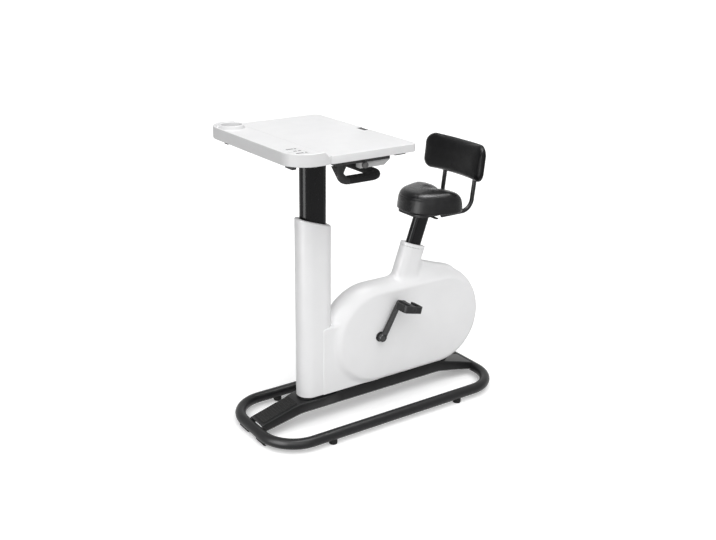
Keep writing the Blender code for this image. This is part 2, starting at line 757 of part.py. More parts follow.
def build_inner_column(joint):
    top = head_plate_z() - GAP
    column = prism([obround(INNER_HALF_LENGTH, INNER_HALF_WIDTH, COLUMN_X),
                    obround(INNER_HALF_LENGTH - INNER_WALL, INNER_HALF_WIDTH - INNER_WALL,
                            COLUMN_X)], INNER_BOTTOM, top)
    add_part(column, "column_inner", BLACK_STEEL, joint)

    cylinder = rod((COLUMN_X, 0, HOUSING_BOTTOM), (COLUMN_X, 0, GAS_CYLINDER_TOP),
                   GAS_CYLINDER_RADIUS)
    cut(cylinder, rod((COLUMN_X, 0, GAS_BORE_BOTTOM), (COLUMN_X, 0, GAS_CYLINDER_TOP * 2),
                      GAS_BORE_RADIUS, 12))
    add_part(cylinder, "gas_cylinder", BARE_STEEL)
    plunger = rod((COLUMN_X, 0, GAS_CYLINDER_TOP - GAS_ROD_INSIDE), (COLUMN_X, 0, top),
                  GAS_ROD_RADIUS, 12)
    add_part(plunger, "gas_rod", BARE_STEEL, joint)


# Desk

def tray_outline(inset, rear):
    corner = DESK_FRONT_CORNER - inset
    return rounded_outline((DESK_FRONT + inset, -DESK_HALF_WIDTH + inset),
                           (rear, DESK_HALF_WIDTH - inset), (corner, SEAM_CORNER), 8)


def build_tray(joint):
    rear = DESK_SEAM - DESK_SEAM_GAP / 2
    tray = prism([tray_outline(0, rear)], TRAY_BOTTOM, DESK_TOP)
    lip = prism([tray_outline(0, TRAY_LIP_END)], DESK_TOP - TRAY_FLOOR,
                DESK_TOP + TRAY_LIP_HEIGHT)
    cut(lip, prism([tray_outline(TRAY_LIP_WIDTH, 0)], DESK_TOP, DESK_TOP * 2))
    pod = prism([arc((CUP_X, CUP_Y), CUP_RADIUS + TRAY_LIP_WIDTH, 0, 345, 23)],
                DESK_TOP - TRAY_FLOOR, DESK_TOP + TRAY_LIP_HEIGHT)
    keep_inside(pod, prism([tray_outline(TRAY_LIP_WIDTH / 2, 0)], 0, DESK_TOP * 2))
    cup_floor = DESK_TOP + TRAY_LIP_HEIGHT - CUP_DEPTH
    cup = rod((CUP_X, CUP_Y, cup_floor), (CUP_X, CUP_Y, DESK_TOP * 2), CUP_RADIUS, 24)
    pocket = block((PANEL_X - PANEL_LENGTH / 2 - GAP, PANEL_Y - PANEL_WIDTH / 2 - GAP,
                    DESK_TOP - PANEL_THICKNESS),
                   (PANEL_X + PANEL_LENGTH / 2 + GAP, PANEL_Y + PANEL_WIDTH / 2 + GAP,
                    DESK_TOP * 2))
    hollow = prism([tray_outline(TRAY_WALL, rear - TRAY_WALL)], 0,
                   DESK_TOP - PANEL_THICKNESS - TRAY_FLOOR)
    add_part(cut(join(tray, lip, pod), cup, pocket, hollow), "front_tray", WHITE_DESK, joint)


def button_places():
    return {"button_down": PANEL_Y - BUTTON_PITCH, "button_mode": PANEL_Y,
            "button_up": PANEL_Y + BUTTON_PITCH}


def build_panel(joint, joints):
    """Control panel let into the tray, with three sprung buttons in its windows."""
    outline = [(PANEL_X - PANEL_LENGTH / 2, PANEL_Y - PANEL_WIDTH / 2),
               (PANEL_X + PANEL_LENGTH / 2, PANEL_Y - PANEL_WIDTH / 2),
               (PANEL_X + PANEL_LENGTH / 2, PANEL_Y + PANEL_WIDTH / 2),
               (PANEL_X - PANEL_LENGTH / 2, PANEL_Y + PANEL_WIDTH / 2)]
    floor = DESK_TOP - PANEL_THICKNESS + GAP
    panel = prism([outline], floor, DESK_TOP + GAP)
    for name, y in button_places().items():
        half = (BUTTON_LENGTH / 2, BUTTON_WIDTH / 2)
        low = (PANEL_X - half[0], y - half[1])
        high = (PANEL_X + half[0], y + half[1])
        wide = BUTTON_CORNER + SLIDE_GAP
        window = prism([rounded_outline((low[0] - SLIDE_GAP, low[1] - SLIDE_GAP),
                                        (high[0] + SLIDE_GAP, high[1] + SLIDE_GAP),
                                        (wide, wide), 3)], 0, DESK_TOP * 2)
        cut(panel, window)
        button = prism([rounded_outline(low, high, (BUTTON_CORNER, BUTTON_CORNER), 3)],
                       floor + BUTTON_TRAVEL + GAP, DESK_TOP + 2 * SLIDE_GAP)
        add_part(button, name, BLACK_PLASTIC, joints[name])
    add_part(panel, "display_panel", WHITE_SHELL, joint)


def build_desk_frame(joint):
    """Head plate, two cross bars and the two arms that carry the front tray."""
    low = head_plate_z()
    bars = low + HEAD_PLATE_THICKNESS
    arms = bars + BAR_HEIGHT
    top = arms + ARM_THICKNESS
    half_x, half_y = HEAD_PLATE_HALF
    frame = block((COLUMN_X - half_x, -half_y, low), (COLUMN_X + half_x, half_y, bars))
    end = RAIL_Y - RAIL_HALF_WIDTH - GAP
    for x in BAR_PLACES:
        bar = block((x - BAR_HALF_WIDTH, -end, bars - WELD), (x + BAR_HALF_WIDTH, end, arms))
        inner = BAR_HALF_WIDTH - BAR_WALL
        cut(bar, block((x - inner, -end + BAR_WALL, 0), (x + inner, end - BAR_WALL,
                                                        arms - BAR_WALL)))
        join(frame, bar)
    for y in ARM_PLACES:
        join(frame, block((ARM_FRONT, y - ARM_HALF_WIDTH, arms - WELD),
                          (BAR_PLACES[1], y + ARM_HALF_WIDTH, top)))
        outward = LUG_OUTSET if y < 0 else 0
        join(frame, block((ARM_FRONT - WELD, y - ARM_HALF_WIDTH - outward, arms - LUG_DROP),
                          (ARM_FRONT + LUG_LENGTH, y + ARM_HALF_WIDTH, top - WELD / 2)))
    add_part(frame, "desk_frame", BLACK_STEEL, joint)


def build_desktop(desktop_joint, joints):
    front = DESK_SEAM + DESK_SEAM_GAP / 2
    board = prism([rounded_outline((front, -DESK_HALF_WIDTH), (DESK_REAR, DESK_HALF_WIDTH),
                                   (SEAM_CORNER, DESK_REAR_CORNER))], DESK_BOTTOM, DESK_TOP)
    notch = (DESK_REAR - PADDLE_LENGTH - EDGE_GAP, PADDLE_Y - PADDLE_HALF_WIDTH - SLIDE_GAP)
    cut(board, block((notch[0], notch[1], 0),
                     (0, PADDLE_Y + PADDLE_HALF_WIDTH + SLIDE_GAP, DESK_TOP * 2)))
    add_part(board, "desktop", WHITE_DESK, desktop_joint)

    top = DESK_TOP - EDGE_GAP
    paddle = block((DESK_REAR - PADDLE_LENGTH, PADDLE_Y - PADDLE_HALF_WIDTH,
                    top - PADDLE_THICKNESS),
                   (DESK_REAR - EDGE_GAP, PADDLE_Y + PADDLE_HALF_WIDTH, top))
    add_part(paddle, "height_paddle", BLACK_PLASTIC, joints["height_paddle"])

    high = DESK_BOTTOM - SLIDE_LEVER_GAP
    lever = block((SLIDE_LEVER_X - SLIDE_LEVER_HALF_LENGTH, SLIDE_LEVER_Y - SLIDE_LEVER_REACH,
                   high - SLIDE_LEVER_THICKNESS),
                  (SLIDE_LEVER_X + SLIDE_LEVER_HALF_LENGTH, SLIDE_LEVER_Y, high))
    add_part(lever, "slide_lever", BLACK_PLASTIC, joints["slide_lever"])


def rail_block(side, half_width, low, high):
    """A block along the rail on one side, from its front to its rear."""
    y = side * RAIL_Y
    return block((RAIL_FRONT, y - half_width, low), (RAIL_REAR, y + half_width, high))


def build_rails(desk_joint, desktop_joint, joints):
    for name, side in (("left", -1), ("right", 1)):
        channel = rail_block(side, RAIL_HALF_WIDTH, RAIL_BOTTOM, RAIL_TOP)
        inner = RAIL_HALF_WIDTH - RAIL_LIP
        floor = RAIL_BOTTOM + RAIL_FLOOR
        y = side * RAIL_Y
        cut(channel, block((-1, y - inner, floor), (1, y + inner, RAIL_TOP * 2)))
        add_part(channel, "fixed_rail_" + name, BLACK_STEEL, desk_joint)

        runner = rail_block(side, inner - SLIDE_GAP, floor + SLIDE_GAP, DESK_BOTTOM - GAP)
        add_part(runner, "slider_rail_" + name, BLACK_STEEL, desktop_joint)

        high = RAIL_BOTTOM - GAP
        wedge = [(BRACKET_FRONT, BRACKET_BOTTOM), (RAIL_REAR - BRACKET_SLANT, BRACKET_BOTTOM),
                 (RAIL_REAR, high - BRACKET_LIP), (RAIL_REAR, high), (BRACKET_FRONT, high)]
        bracket = prism([wedge], y - RAIL_HALF_WIDTH, y + RAIL_HALF_WIDTH, "XZ")
        add_part(bracket, "side_bracket_" + name, GREY_PLASTIC, desk_joint)

        face = RAIL_Y + RAIL_HALF_WIDTH + GAP
        ends = sorted((side * face, side * (face + KNOB_DEPTH)))
        knob = cross_rod(KNOB_X, KNOB_Z, ends[0], ends[1], KNOB_RADIUS)
        add_part(knob, "rail_knob_" + name, BLACK_PLASTIC, joints["rail_knob_" + name])


def handlebar_path():
    corner = HANDLEBAR_CORNER
    points = [(HANDLEBAR_FRONT, -RAIL_Y)]
    points += arc((HANDLEBAR_REAR - corner, -RAIL_Y + corner), corner, -90, 0, 6)
    points += arc((HANDLEBAR_REAR - corner, RAIL_Y - corner), corner, 0, 90, 6)
    points.append((HANDLEBAR_FRONT, RAIL_Y))
    return [(x, y, HANDLEBAR_Z) for x, y in points]


def build_handlebar(joint):
    """A U-shaped bar that hangs on a flat strut at each front end."""
    bar = pipe(handlebar_path(), HANDLEBAR_RADIUS, 12)
    top = RAIL_BOTTOM - GAP
    foot = HANDLEBAR_Z - STRUT_FOOT_DROP
    outline = [(STRUT_FOOT_X[0], foot), (STRUT_FOOT_X[1], foot),
               (STRUT_TOP_X[1], top), (STRUT_TOP_X[0], top)]
    for side in (-1, 1):
        y = side * RAIL_Y
        half = STRUT_THICKNESS / 2
        join(bar, prism([outline], y - half, y + half, "XZ"))
    add_part(bar, "handlebar", BLACK_PLASTIC, joint)


# Drive housing

def crowned_pill(inset):
    """Two round ends joined by a straight middle, swelling in an arc between the faces."""
    bow = (FACE_HALF_THICKNESS ** 2 + CROWN ** 2) / (2 * CROWN)
    widest = asin((FACE_HALF_THICKNESS - inset) / (bow - inset))
    rings = []
    for step in range(-CROWN_STEPS // 2, CROWN_STEPS // 2 + 1):
        angle = widest * 2 * step / CROWN_STEPS
        y = (bow - inset) * sin(angle)
        swell = (bow - inset) * cos(angle) - (bow - CROWN)
        lift = max(swell + inset, 0) / CROWN
        front_x = FACE_FRONT_X + (CROWN_FRONT_X - FACE_FRONT_X) * lift
        outline = arc((REAR_X, CRANK_Z), FACE_RADIUS + swell, -90, 90, 12)
        outline += arc((front_x, CRANK_Z), FACE_RADIUS + swell, 90, 270, 12)
        rings.append([(x, y, z) for x, z in outline])
    return loft(rings)


def housing_form(inset, extra):
    """The housing's outer form, or its hollow when inset by the wall."""
    form = crowned_pill(inset)
    half = PLINTH_HALF_WIDTH - inset
    top = PLINTH_TOP - inset
    plinth = [(PLINTH_FRONT, -extra), (FACE_FRONT_X, -extra), (FACE_FRONT_X, PLINTH_TOP),
              (PLINTH_FRONT + PLINTH_TOP_FLAT, top), (PLINTH_FRONT, top)]
    join(form, prism([plinth], -half, half, "XZ"))
    sleeve = prism([obround(SLEEVE_HALF_LENGTH - inset, SLEEVE_HALF_WIDTH - inset)],
                   -SLEEVE_LENGTH, -COLLAR_HEIGHT - GAP + extra)
    join(form, tilted(sleeve))
    root = CRANK_Z + FACE_RADIUS - WEB_ROOT
    crest = WEB_TOP - inset
    web = [(POST_X - SLEEVE_HALF_WIDTH, root), (WEB_END[0] - WEB_ROOT / 2, root),
           (WEB_END[0], WEB_END[1] - inset), (POST_X + SLEEVE_HALF_LENGTH, crest),
           (POST_X - WEB_IN_SLEEVE, crest + WEB_CREST)]
    join(form, prism([web], -WEB_HALF_WIDTH + inset, WEB_HALF_WIDTH - inset, "XZ"))
    return form


def build_housing():
    outer = baked(housing_form(0, 0), "housing")
    hollow = baked(housing_form(HOUSING_WALL, 0.02), "hollow")
    column = obround_prism(COVER_HALF_LENGTH + GAP, COVER_HALF_WIDTH + GAP, -1, 1, steps=12)
    floor = block((-1, -1, -1), (1, 1, HOUSING_BOTTOM))
    axle_hole = cross_rod(CRANK_X, CRANK_Z, -1, 1, AXLE_HOLE_RADIUS)
    housing = baked(cut(outer, hollow, column, floor, axle_hole), "housing")
    for name, side in (("left", -1), ("right", 1)):
        half = new_object(housing.data.copy())
        seam = side * GAP / 2
        ends = sorted((seam, side * 1.0))
        keep_inside(half, block((-2, ends[0], -2), (2, ends[1], 2)))
        add_part(half, "housing_" + name, WHITE_SHELL)
    bpy.data.objects.remove(housing, do_unlink=True)


def build_collar():
    """Cap on the sleeve, with the post's opening in it."""
    collar = prism([obround(SLEEVE_HALF_LENGTH + COLLAR_LIP, SLEEVE_HALF_WIDTH + COLLAR_LIP)],
                   -COLLAR_HEIGHT, 0)
    cavity = prism([obround(SLEEVE_HALF_LENGTH - HOUSING_WALL,
                            SLEEVE_HALF_WIDTH - HOUSING_WALL)], -1, -COLLAR_CAP)
    hole = prism([obround(SEAT_POST_HALF_LENGTH + EDGE_GAP, SEAT_POST_HALF_WIDTH + EDGE_GAP)],
                 -1, 1)
    cut(collar, cavity, hole)
    add_part(tilted(baked(collar)), "seat_collar", WHITE_SHELL)


# Welded frame and drive train

def build_main_frame():
    """Base plate, tilted seat tube, crank bearing shell and two flywheel uprights."""
    front = COLUMN_X + COVER_HALF_LENGTH + FRAME_FRONT_GAP
    narrow = PLINTH_HALF_WIDTH - EDGE_GAP
    wide = narrow + FRAME_STEP
    half = [(front, narrow), (FRAME_STEP_X[0], narrow), (FRAME_STEP_X[1], wide),
            (FRAME_REAR - FRAME_REAR_TAPER, wide), (FRAME_REAR, FRAME_REAR_HALF_WIDTH)]
    frame = prism([mirrored(half)], PLATE_Z, PLATE_TOP)
    foot = PLATE_Z + FOOT_PLATE / 2
    low = (PLATE_Z - POST_Z) / cos(POST_TILT) - SEAT_TUBE_HALF_LENGTH
    high = -COLLAR_CAP - SLIDE_GAP
    tube = tilted(prism([obround(SEAT_TUBE_HALF_LENGTH, SEAT_TUBE_HALF_WIDTH)], low, high))
    hollow = tilted(prism([obround(SEAT_TUBE_HALF_LENGTH - SEAT_TUBE_WALL,
                                   SEAT_TUBE_HALF_WIDTH - SEAT_TUBE_WALL)],
                          low + SEAT_TUBE_SOLID_FOOT, 1))
    cut(tube, block((-1, -1, -1), (1, 1, foot)))
    bore = cross_rod(CRANK_X, CRANK_Z, -1, 1, BEARING_RADIUS + GAP)
    shell = cross_rod(CRANK_X, CRANK_Z, SHELL_LEFT, SHELL_RIGHT, BEARING_RADIUS + SHELL_WALL)
    reach, half_width, half_height = SHELL_ARM
    web = block((CRANK_X, -half_width, CRANK_Z - half_height),
                (CRANK_X + reach, half_width, CRANK_Z + half_height))
    join(frame, tube, shell, web)
    for y in upright_places():
        join(frame, block((FLYWHEEL_X - UPRIGHT_HALF_WIDTH, y, foot),
                          (FLYWHEEL_X + UPRIGHT_HALF_WIDTH, y + UPRIGHT_THICKNESS,
                           FLYWHEEL_Z + UPRIGHT_RISE)))
    cut(frame, hollow, bore)
    cut(frame, cross_rod(FLYWHEEL_X, FLYWHEEL_Z, -1, 1, FLYWHEEL_AXLE_RADIUS + GAP, 16))
    add_part(frame, "main_frame", BLACK_STEEL)


def upright_places():
    """Left side of each upright, outside the flywheel and outside its pulley."""
    left = FLYWHEEL_Y - FLYWHEEL_HALF_WIDTH - UPRIGHT_ROOM[0] - UPRIGHT_THICKNESS
    right = PULLEY_LEFT + PULLEY_WIDTH + UPRIGHT_ROOM[1]
    return left, right


def build_seat_bush():
    high = -COLLAR_CAP - 3 * SLIDE_GAP
    bush = prism([obround(SEAT_TUBE_HALF_LENGTH - SEAT_TUBE_WALL - GAP,
                          SEAT_TUBE_HALF_WIDTH - SEAT_TUBE_WALL - GAP),
                  obround(SEAT_POST_HALF_LENGTH + GAP, SEAT_POST_HALF_WIDTH + GAP)],
                 high - SEAT_BUSH_HEIGHT, high)
    add_part(tilted(bush), "seat_bush", BLACK_PLASTIC)


def build_crank_bearings():
    for name, y in (("left", SHELL_LEFT + BEARING_INSET),
                    ("right", SHELL_RIGHT - BEARING_INSET - BEARING_WIDTH)):
        bearing = ring(CRANK_X, CRANK_Z, y, y + BEARING_WIDTH, AXLE_RADIUS + SLIDE_GAP,
                       BEARING_RADIUS, 16)
        add_part(bearing, "crank_bearing_" + name, BARE_STEEL)
    for name, side in (("left", -1), ("right", 1)):
        face = FACE_HALF_THICKNESS + GAP
        ends = sorted((side * face, side * (face + TRIM_THICKNESS)))
        trim = ring(CRANK_X, CRANK_Z, ends[0], ends[1], AXLE_RADIUS + TRIM_CLEARANCE,
                    TRIM_RADIUS, 20)
        add_part(trim, "trim_ring_" + name, BLACK_PLASTIC)


def crank_end(side):
    """Pedal axis at one crank's end, as x and z; the right crank points the other way."""
    angle = CRANK_ANGLE if side < 0 else CRANK_ANGLE + pi
    return CRANK_X + CRANK_LENGTH * cos(angle), CRANK_Z + CRANK_LENGTH * sin(angle)


def build_cranks(joint):
    inner = CRANK_OUTER - CRANK_THICKNESS
    boss_inner = FACE_HALF_THICKNESS + TRIM_THICKNESS + BOSS_CLEARANCE
    socket = CRANK_OUTER - SOCKET_FLOOR
    for name, side in (("left", -1), ("right", 1)):
        x, z = crank_end(side)
        boss = cross_rod(CRANK_X, CRANK_Z, *sorted((side * boss_inner, side * CRANK_OUTER)),
                         BOSS_RADIUS)
        turn = Matrix.Rotation(-CRANK_ANGLE - (pi if side > 0 else 0), 4, "Y")
        shape = obround(CRANK_LENGTH / 2 + CRANK_HALF_WIDTH, CRANK_HALF_WIDTH,
                        CRANK_LENGTH / 2)
        arm = prism([shape], *sorted((side * inner, side * CRANK_OUTER)), "XZ")
        arm.data.transform(Matrix.Translation((CRANK_X, 0, CRANK_Z)) @ turn)
        end = CRANK_OUTER + SPINDLE_LENGTH
        spindle = cross_rod(x, z, *sorted((side * (inner + SPINDLE_ROOT), side * end)),
                            SPINDLE_RADIUS, 16)
        hole = cross_rod(CRANK_X, CRANK_Z, *sorted((0, side * socket)), AXLE_RADIUS + GAP)
        crank = cut(join(boss, arm, spindle), hole)
        add_part(crank, "crank_" + name, BLACK_STEEL, joint)
    axle = cross_rod(CRANK_X, CRANK_Z, -socket + GAP, socket - GAP, AXLE_RADIUS)
    add_part(axle, "crank_axle", BARE_STEEL, joint)
    build_drive_pulley(joint)


def build_drive_pulley(joint):
    left, right = PULLEY_LEFT, PULLEY_LEFT + PULLEY_WIDTH
    web = right - PULLEY_WEB
    rim, hub = PULLEY_RADIUS - PULLEY_RIM, AXLE_RADIUS + PULLEY_HUB
    bore = AXLE_RADIUS + GAP
    profile = [(PULLEY_RADIUS, right), (PULLEY_RADIUS, left), (rim, left), (rim, web),
               (hub, web), (hub, left), (bore, left), (bore, right)]
    pulley = turned(profile, CRANK_X, CRANK_Z, 36)
    add_part(pulley, "drive_pulley", BLACK_PLASTIC, joint)


def pedal_outline(side, half_length, half_width):
    """Plan of a pedal cage: round outer corners, inner corners cut back by the crank."""
    cut_x, cut_y = PEDAL_INNER_CUT
    outer = arc((half_length - PEDAL_CORNER, half_width - PEDAL_CORNER), PEDAL_CORNER, 0, 90, 3)
    half = [(half_length - cut_x, -half_width), (half_length, -half_width + cut_y)] + outer
    outline = half + [(-x, y) for x, y in reversed(half)]
    return [(x, side * y) for x, y in outline]


def build_pedals(joints):
    for name, side in (("left", -1), ("right", 1)):
        x, z = crank_end(side)
        middle = side * (CRANK_OUTER + PEDAL_CLEARANCE + PEDAL_WIDTH / 2)
        half_length, half_width = PEDAL_LENGTH / 2, PEDAL_WIDTH / 2
        tread = PEDAL_LENGTH / 2 - PEDAL_BAR
        outer = pedal_outline(side, half_length, half_width)
        slot = half_width - PEDAL_BAR
        short = half_width - PEDAL_BAR - PEDAL_INNER_CUT[1] * 0.6
        windows = []
        for near, far in ((-tread, -PEDAL_MIDDLE_BAR), (tread, PEDAL_MIDDLE_BAR)):
            windows.append([(near, side * slot), (far, side * slot), (far, -side * slot),
                            (near, -side * short)])
        cage = prism([outer] + windows, -PEDAL_THICKNESS / 2, PEDAL_THICKNESS / 2)
        bore = cross_rod(0, 0, -1, 1, SPINDLE_RADIUS + SHAFT_GAP, 16)
        reach = half_width + PEDAL_BARREL_BEYOND
        barrel = cross_rod(0, 0, -reach, reach, PEDAL_BARREL, 20)
        pedal = baked(cut(join(cage, barrel), bore))
        pedal.data.transform(Matrix.Translation((x, middle, z))
                             @ Matrix.Rotation(-PEDAL_TILT, 4, "Y"))
        add_part(pedal, "pedal_" + name, BLACK_PLASTIC, joints["pedal_" + name])


def tangent_loop(large, small, steps=24):
    """Outer loop of a belt around two circles, each given as x, z and radius."""
    (x1, z1, r1), (x2, z2, r2) = large, small
    distance = hypot(x2 - x1, z2 - z1)
    along = Vector((x2 - x1, z2 - z1)).normalized()
    across = Vector((-along.y, along.x))
    touch = acos((r1 - r2) / distance)
    points = []
    for step in range(steps + 1):
        angle = touch + (2 * pi - 2 * touch) * step / steps
        points.append(Vector((x1, z1)) + r1 * (cos(angle) * along + sin(angle) * across))
    for step in range(steps // 2 + 1):
        angle = -touch + 2 * touch * step / (steps // 2)
        points.append(Vector((x2, z2)) + r2 * (cos(angle) * along + sin(angle) * across))
    return [(point.x, point.y) for point in points]


def build_belt():
    inner = SHAFT_GAP
    outer = SHAFT_GAP + BELT_THICKNESS
    loops = []
    for grow in (outer, inner):
        loops.append(tangent_loop((CRANK_X, CRANK_Z, PULLEY_RADIUS + grow),
                                  (FLYWHEEL_X, FLYWHEEL_Z, FLYWHEEL_PULLEY_RADIUS + grow), 48))
    belt = prism(loops, PULLEY_LEFT + BELT_INSET, PULLEY_LEFT + PULLEY_WIDTH - BELT_INSET, "XZ")
    add_part(belt, "drive_belt", RUBBER)


def build_flywheel(joint):
    left, right = FLYWHEEL_Y - FLYWHEEL_HALF_WIDTH, FLYWHEEL_Y + FLYWHEEL_HALF_WIDTH
    rim = FLYWHEEL_RADIUS - FLYWHEEL_RIM
    web_left, web_right = FLYWHEEL_Y - FLYWHEEL_WEB_HALF, FLYWHEEL_Y + FLYWHEEL_WEB_HALF
    bore = FLYWHEEL_AXLE_RADIUS + SHAFT_GAP
    hub = FLYWHEEL_PULLEY_RADIUS
    end = PULLEY_LEFT + PULLEY_WIDTH + FLYWHEEL_PULLEY_BEYOND
    profile = [(FLYWHEEL_RADIUS, right), (FLYWHEEL_RADIUS, left), (rim, left),
               (rim, web_left), (hub, web_left), (hub, left), (bore, left), (bore, end),
               (hub, end), (hub, web_right), (rim, web_right), (rim, right)]
    wheel = turned(profile, FLYWHEEL_X, FLYWHEEL_Z, 32)
    add_part(wheel, "flywheel", CAST_IRON, joint)
    left_upright, right_upright = upright_places()
    axle = cross_rod(FLYWHEEL_X, FLYWHEEL_Z, left_upright - FLYWHEEL_AXLE_BEYOND,
                     right_upright + UPRIGHT_THICKNESS + FLYWHEEL_AXLE_BEYOND,
                     FLYWHEEL_AXLE_RADIUS, 16)
    add_part(axle, "flywheel_axle", BARE_STEEL)


def build_brake_magnet():
    """A U-shaped magnet carrier that stands around the flywheel's rim."""
    half = FLYWHEEL_HALF_WIDTH + MAGNET_CLEARANCE
    reach = FLYWHEEL_X - MAGNET_X
    rim_low = FLYWHEEL_Z - sqrt(FLYWHEEL_RADIUS ** 2 - reach ** 2)
    carrier = block((MAGNET_X - MAGNET_HALF_LENGTH, FLYWHEEL_Y - half - MAGNET_WALL,
                     HOUSING_BOTTOM),
                    (MAGNET_X + MAGNET_HALF_LENGTH, FLYWHEEL_Y + half + MAGNET_WALL,
                     rim_low + FLYWHEEL_RIM))
    lowest = FLYWHEEL_Z - sqrt(FLYWHEEL_RADIUS ** 2 - (reach - MAGNET_HALF_LENGTH) ** 2)
    cut(carrier, block((-1, FLYWHEEL_Y - half, lowest - MAGNET_FLOOR_CLEARANCE),
                       (1, FLYWHEEL_Y + half, 1)))
    add_part(carrier, "brake_magnet", BARE_STEEL)


# Seat and backrest

def build_seat_post(joint):
    outer = obround(SEAT_POST_HALF_LENGTH, SEAT_POST_HALF_WIDTH)
    inner = obround(SEAT_POST_HALF_LENGTH - SEAT_POST_WALL,
                    SEAT_POST_HALF_WIDTH - SEAT_POST_WALL)
    high = (PAN_BOTTOM - POST_Z) / cos(POST_TILT) + 0.030
    post = tilted(prism([outer, inner], -SEAT_POST_INSIDE, high))
    cut(post, block((-1, -1, PAN_BOTTOM - GAP), (1, 1, 2)))
    add_part(post, "seat_post", BLACK_STEEL, joint)


def build_seat(joint, joints):
    pan = prism([rounded_outline((PAN_FRONT, -PAN_HALF_WIDTH), (PAN_REAR, PAN_HALF_WIDTH),
                                 PAN_CORNERS, 5)], PAN_BOTTOM, PAN_BOTTOM + PAN_THICKNESS)
    add_part(pan, "seat_pan", BLACK_PLASTIC, joint)
    middle = (CUSHION_FRONT + CUSHION_REAR) / 2
    rings = []
    for share, scale in CUSHION_LEVELS:
        z = CUSHION_BOTTOM + CUSHION_RISE * share
        rings.append([(middle + (x - middle) * scale, y * scale, z)
                      for x, y in saddle_outline()])
    add_part(loft(rings), "seat_cushion", LEATHER, joint)

    top = PAN_BOTTOM - SEAT_LEVER_DROP
    near = SEAT_POST_HALF_WIDTH + SLIDE_GAP
    lever = block((SEAT_LEVER_X - SEAT_LEVER_HALF_LENGTH, -near - SEAT_LEVER_REACH,
                   top - SEAT_LEVER_THICKNESS),
                  (SEAT_LEVER_X + SEAT_LEVER_HALF_LENGTH, -near, top))
    add_part(lever, "seat_lever", BLACK_PLASTIC, joints["seat_lever"])


def saddle_outline():
    """Plan of the saddle: a broad nose that widens to two rounded rear lobes."""
    half = [(CUSHION_FRONT + x, CUSHION_NOSE_HALF_WIDTH * share) for x, share in NOSE_PLAN]
    half += [(CUSHION_REAR - x, CUSHION_HALF_WIDTH * share) for x, share in LOBE_PLAN]
    half.append((CUSHION_REAR - REAR_NOTCH[0], REAR_NOTCH[1]))
    return mirrored(half)


def back_frame():
    """Leaning frame of the backrest: its origin is on the bars' line."""
    return (Matrix.Translation((BACK_BAR_X, 0, BACK_TILT_Z))
            @ Matrix.Rotation(BACK_TILT, 4, "Y"))


def back_bar_path(side):
    """Along under the seat, round a bend and up behind the pad."""
    low = PAN_BOTTOM + BACK_BAR_RISE
    y = side * BACK_BAR_Y
    bend = BACK_BAR_BEND
    foot_x = BACK_BAR_X - (BACK_TILT_Z - low) * tan(BACK_TILT)
    points = [(BACK_BAR_FRONT, y, low)]
    for x, z in arc((foot_x - bend, low + bend), bend, -90, 0, 8):
        points.append((x, y, z))
    top = PAD_Z + BACK_PLATE[2] / 2
    points.append((BACK_BAR_X + (top - BACK_TILT_Z) * tan(BACK_TILT), y, top))
    return points


def build_backrest(joint):
    lean = back_frame()
    thick, width, height = BACK_PLATE
    centre = (PAD_Z - BACK_TILT_Z) / cos(BACK_TILT)
    face = -BACK_BAR_RADIUS - thick + WELD
    plate = tilted(block((face, -width / 2, centre - height / 2),
                         (face + thick, width / 2, centre + height / 2)), lean)
    frame = pipe(back_bar_path(-1), BACK_BAR_RADIUS, 12)
    join(frame, pipe(back_bar_path(1), BACK_BAR_RADIUS, 12), plate)
    add_part(frame, "backrest_frame", BLACK_STEEL, joint)

    rear = face - GAP
    steps = 8
    front_line, rear_line = [], []
    for step in range(steps + 1):
        across = -1 + 2 * step / steps
        sweep = PAD_SWEEP * across ** 2
        front_line.append((rear - PAD_THICKNESS - sweep, across * PAD_HALF_WIDTH))
        rear_line.append((rear - sweep, across * PAD_HALF_WIDTH))
    pad = prism([front_line + list(reversed(rear_line))], centre - PAD_HEIGHT / 2,
                centre + PAD_HEIGHT / 2)
    add_part(tilted(pad, lean), "backrest_pad", LEATHER, joint)


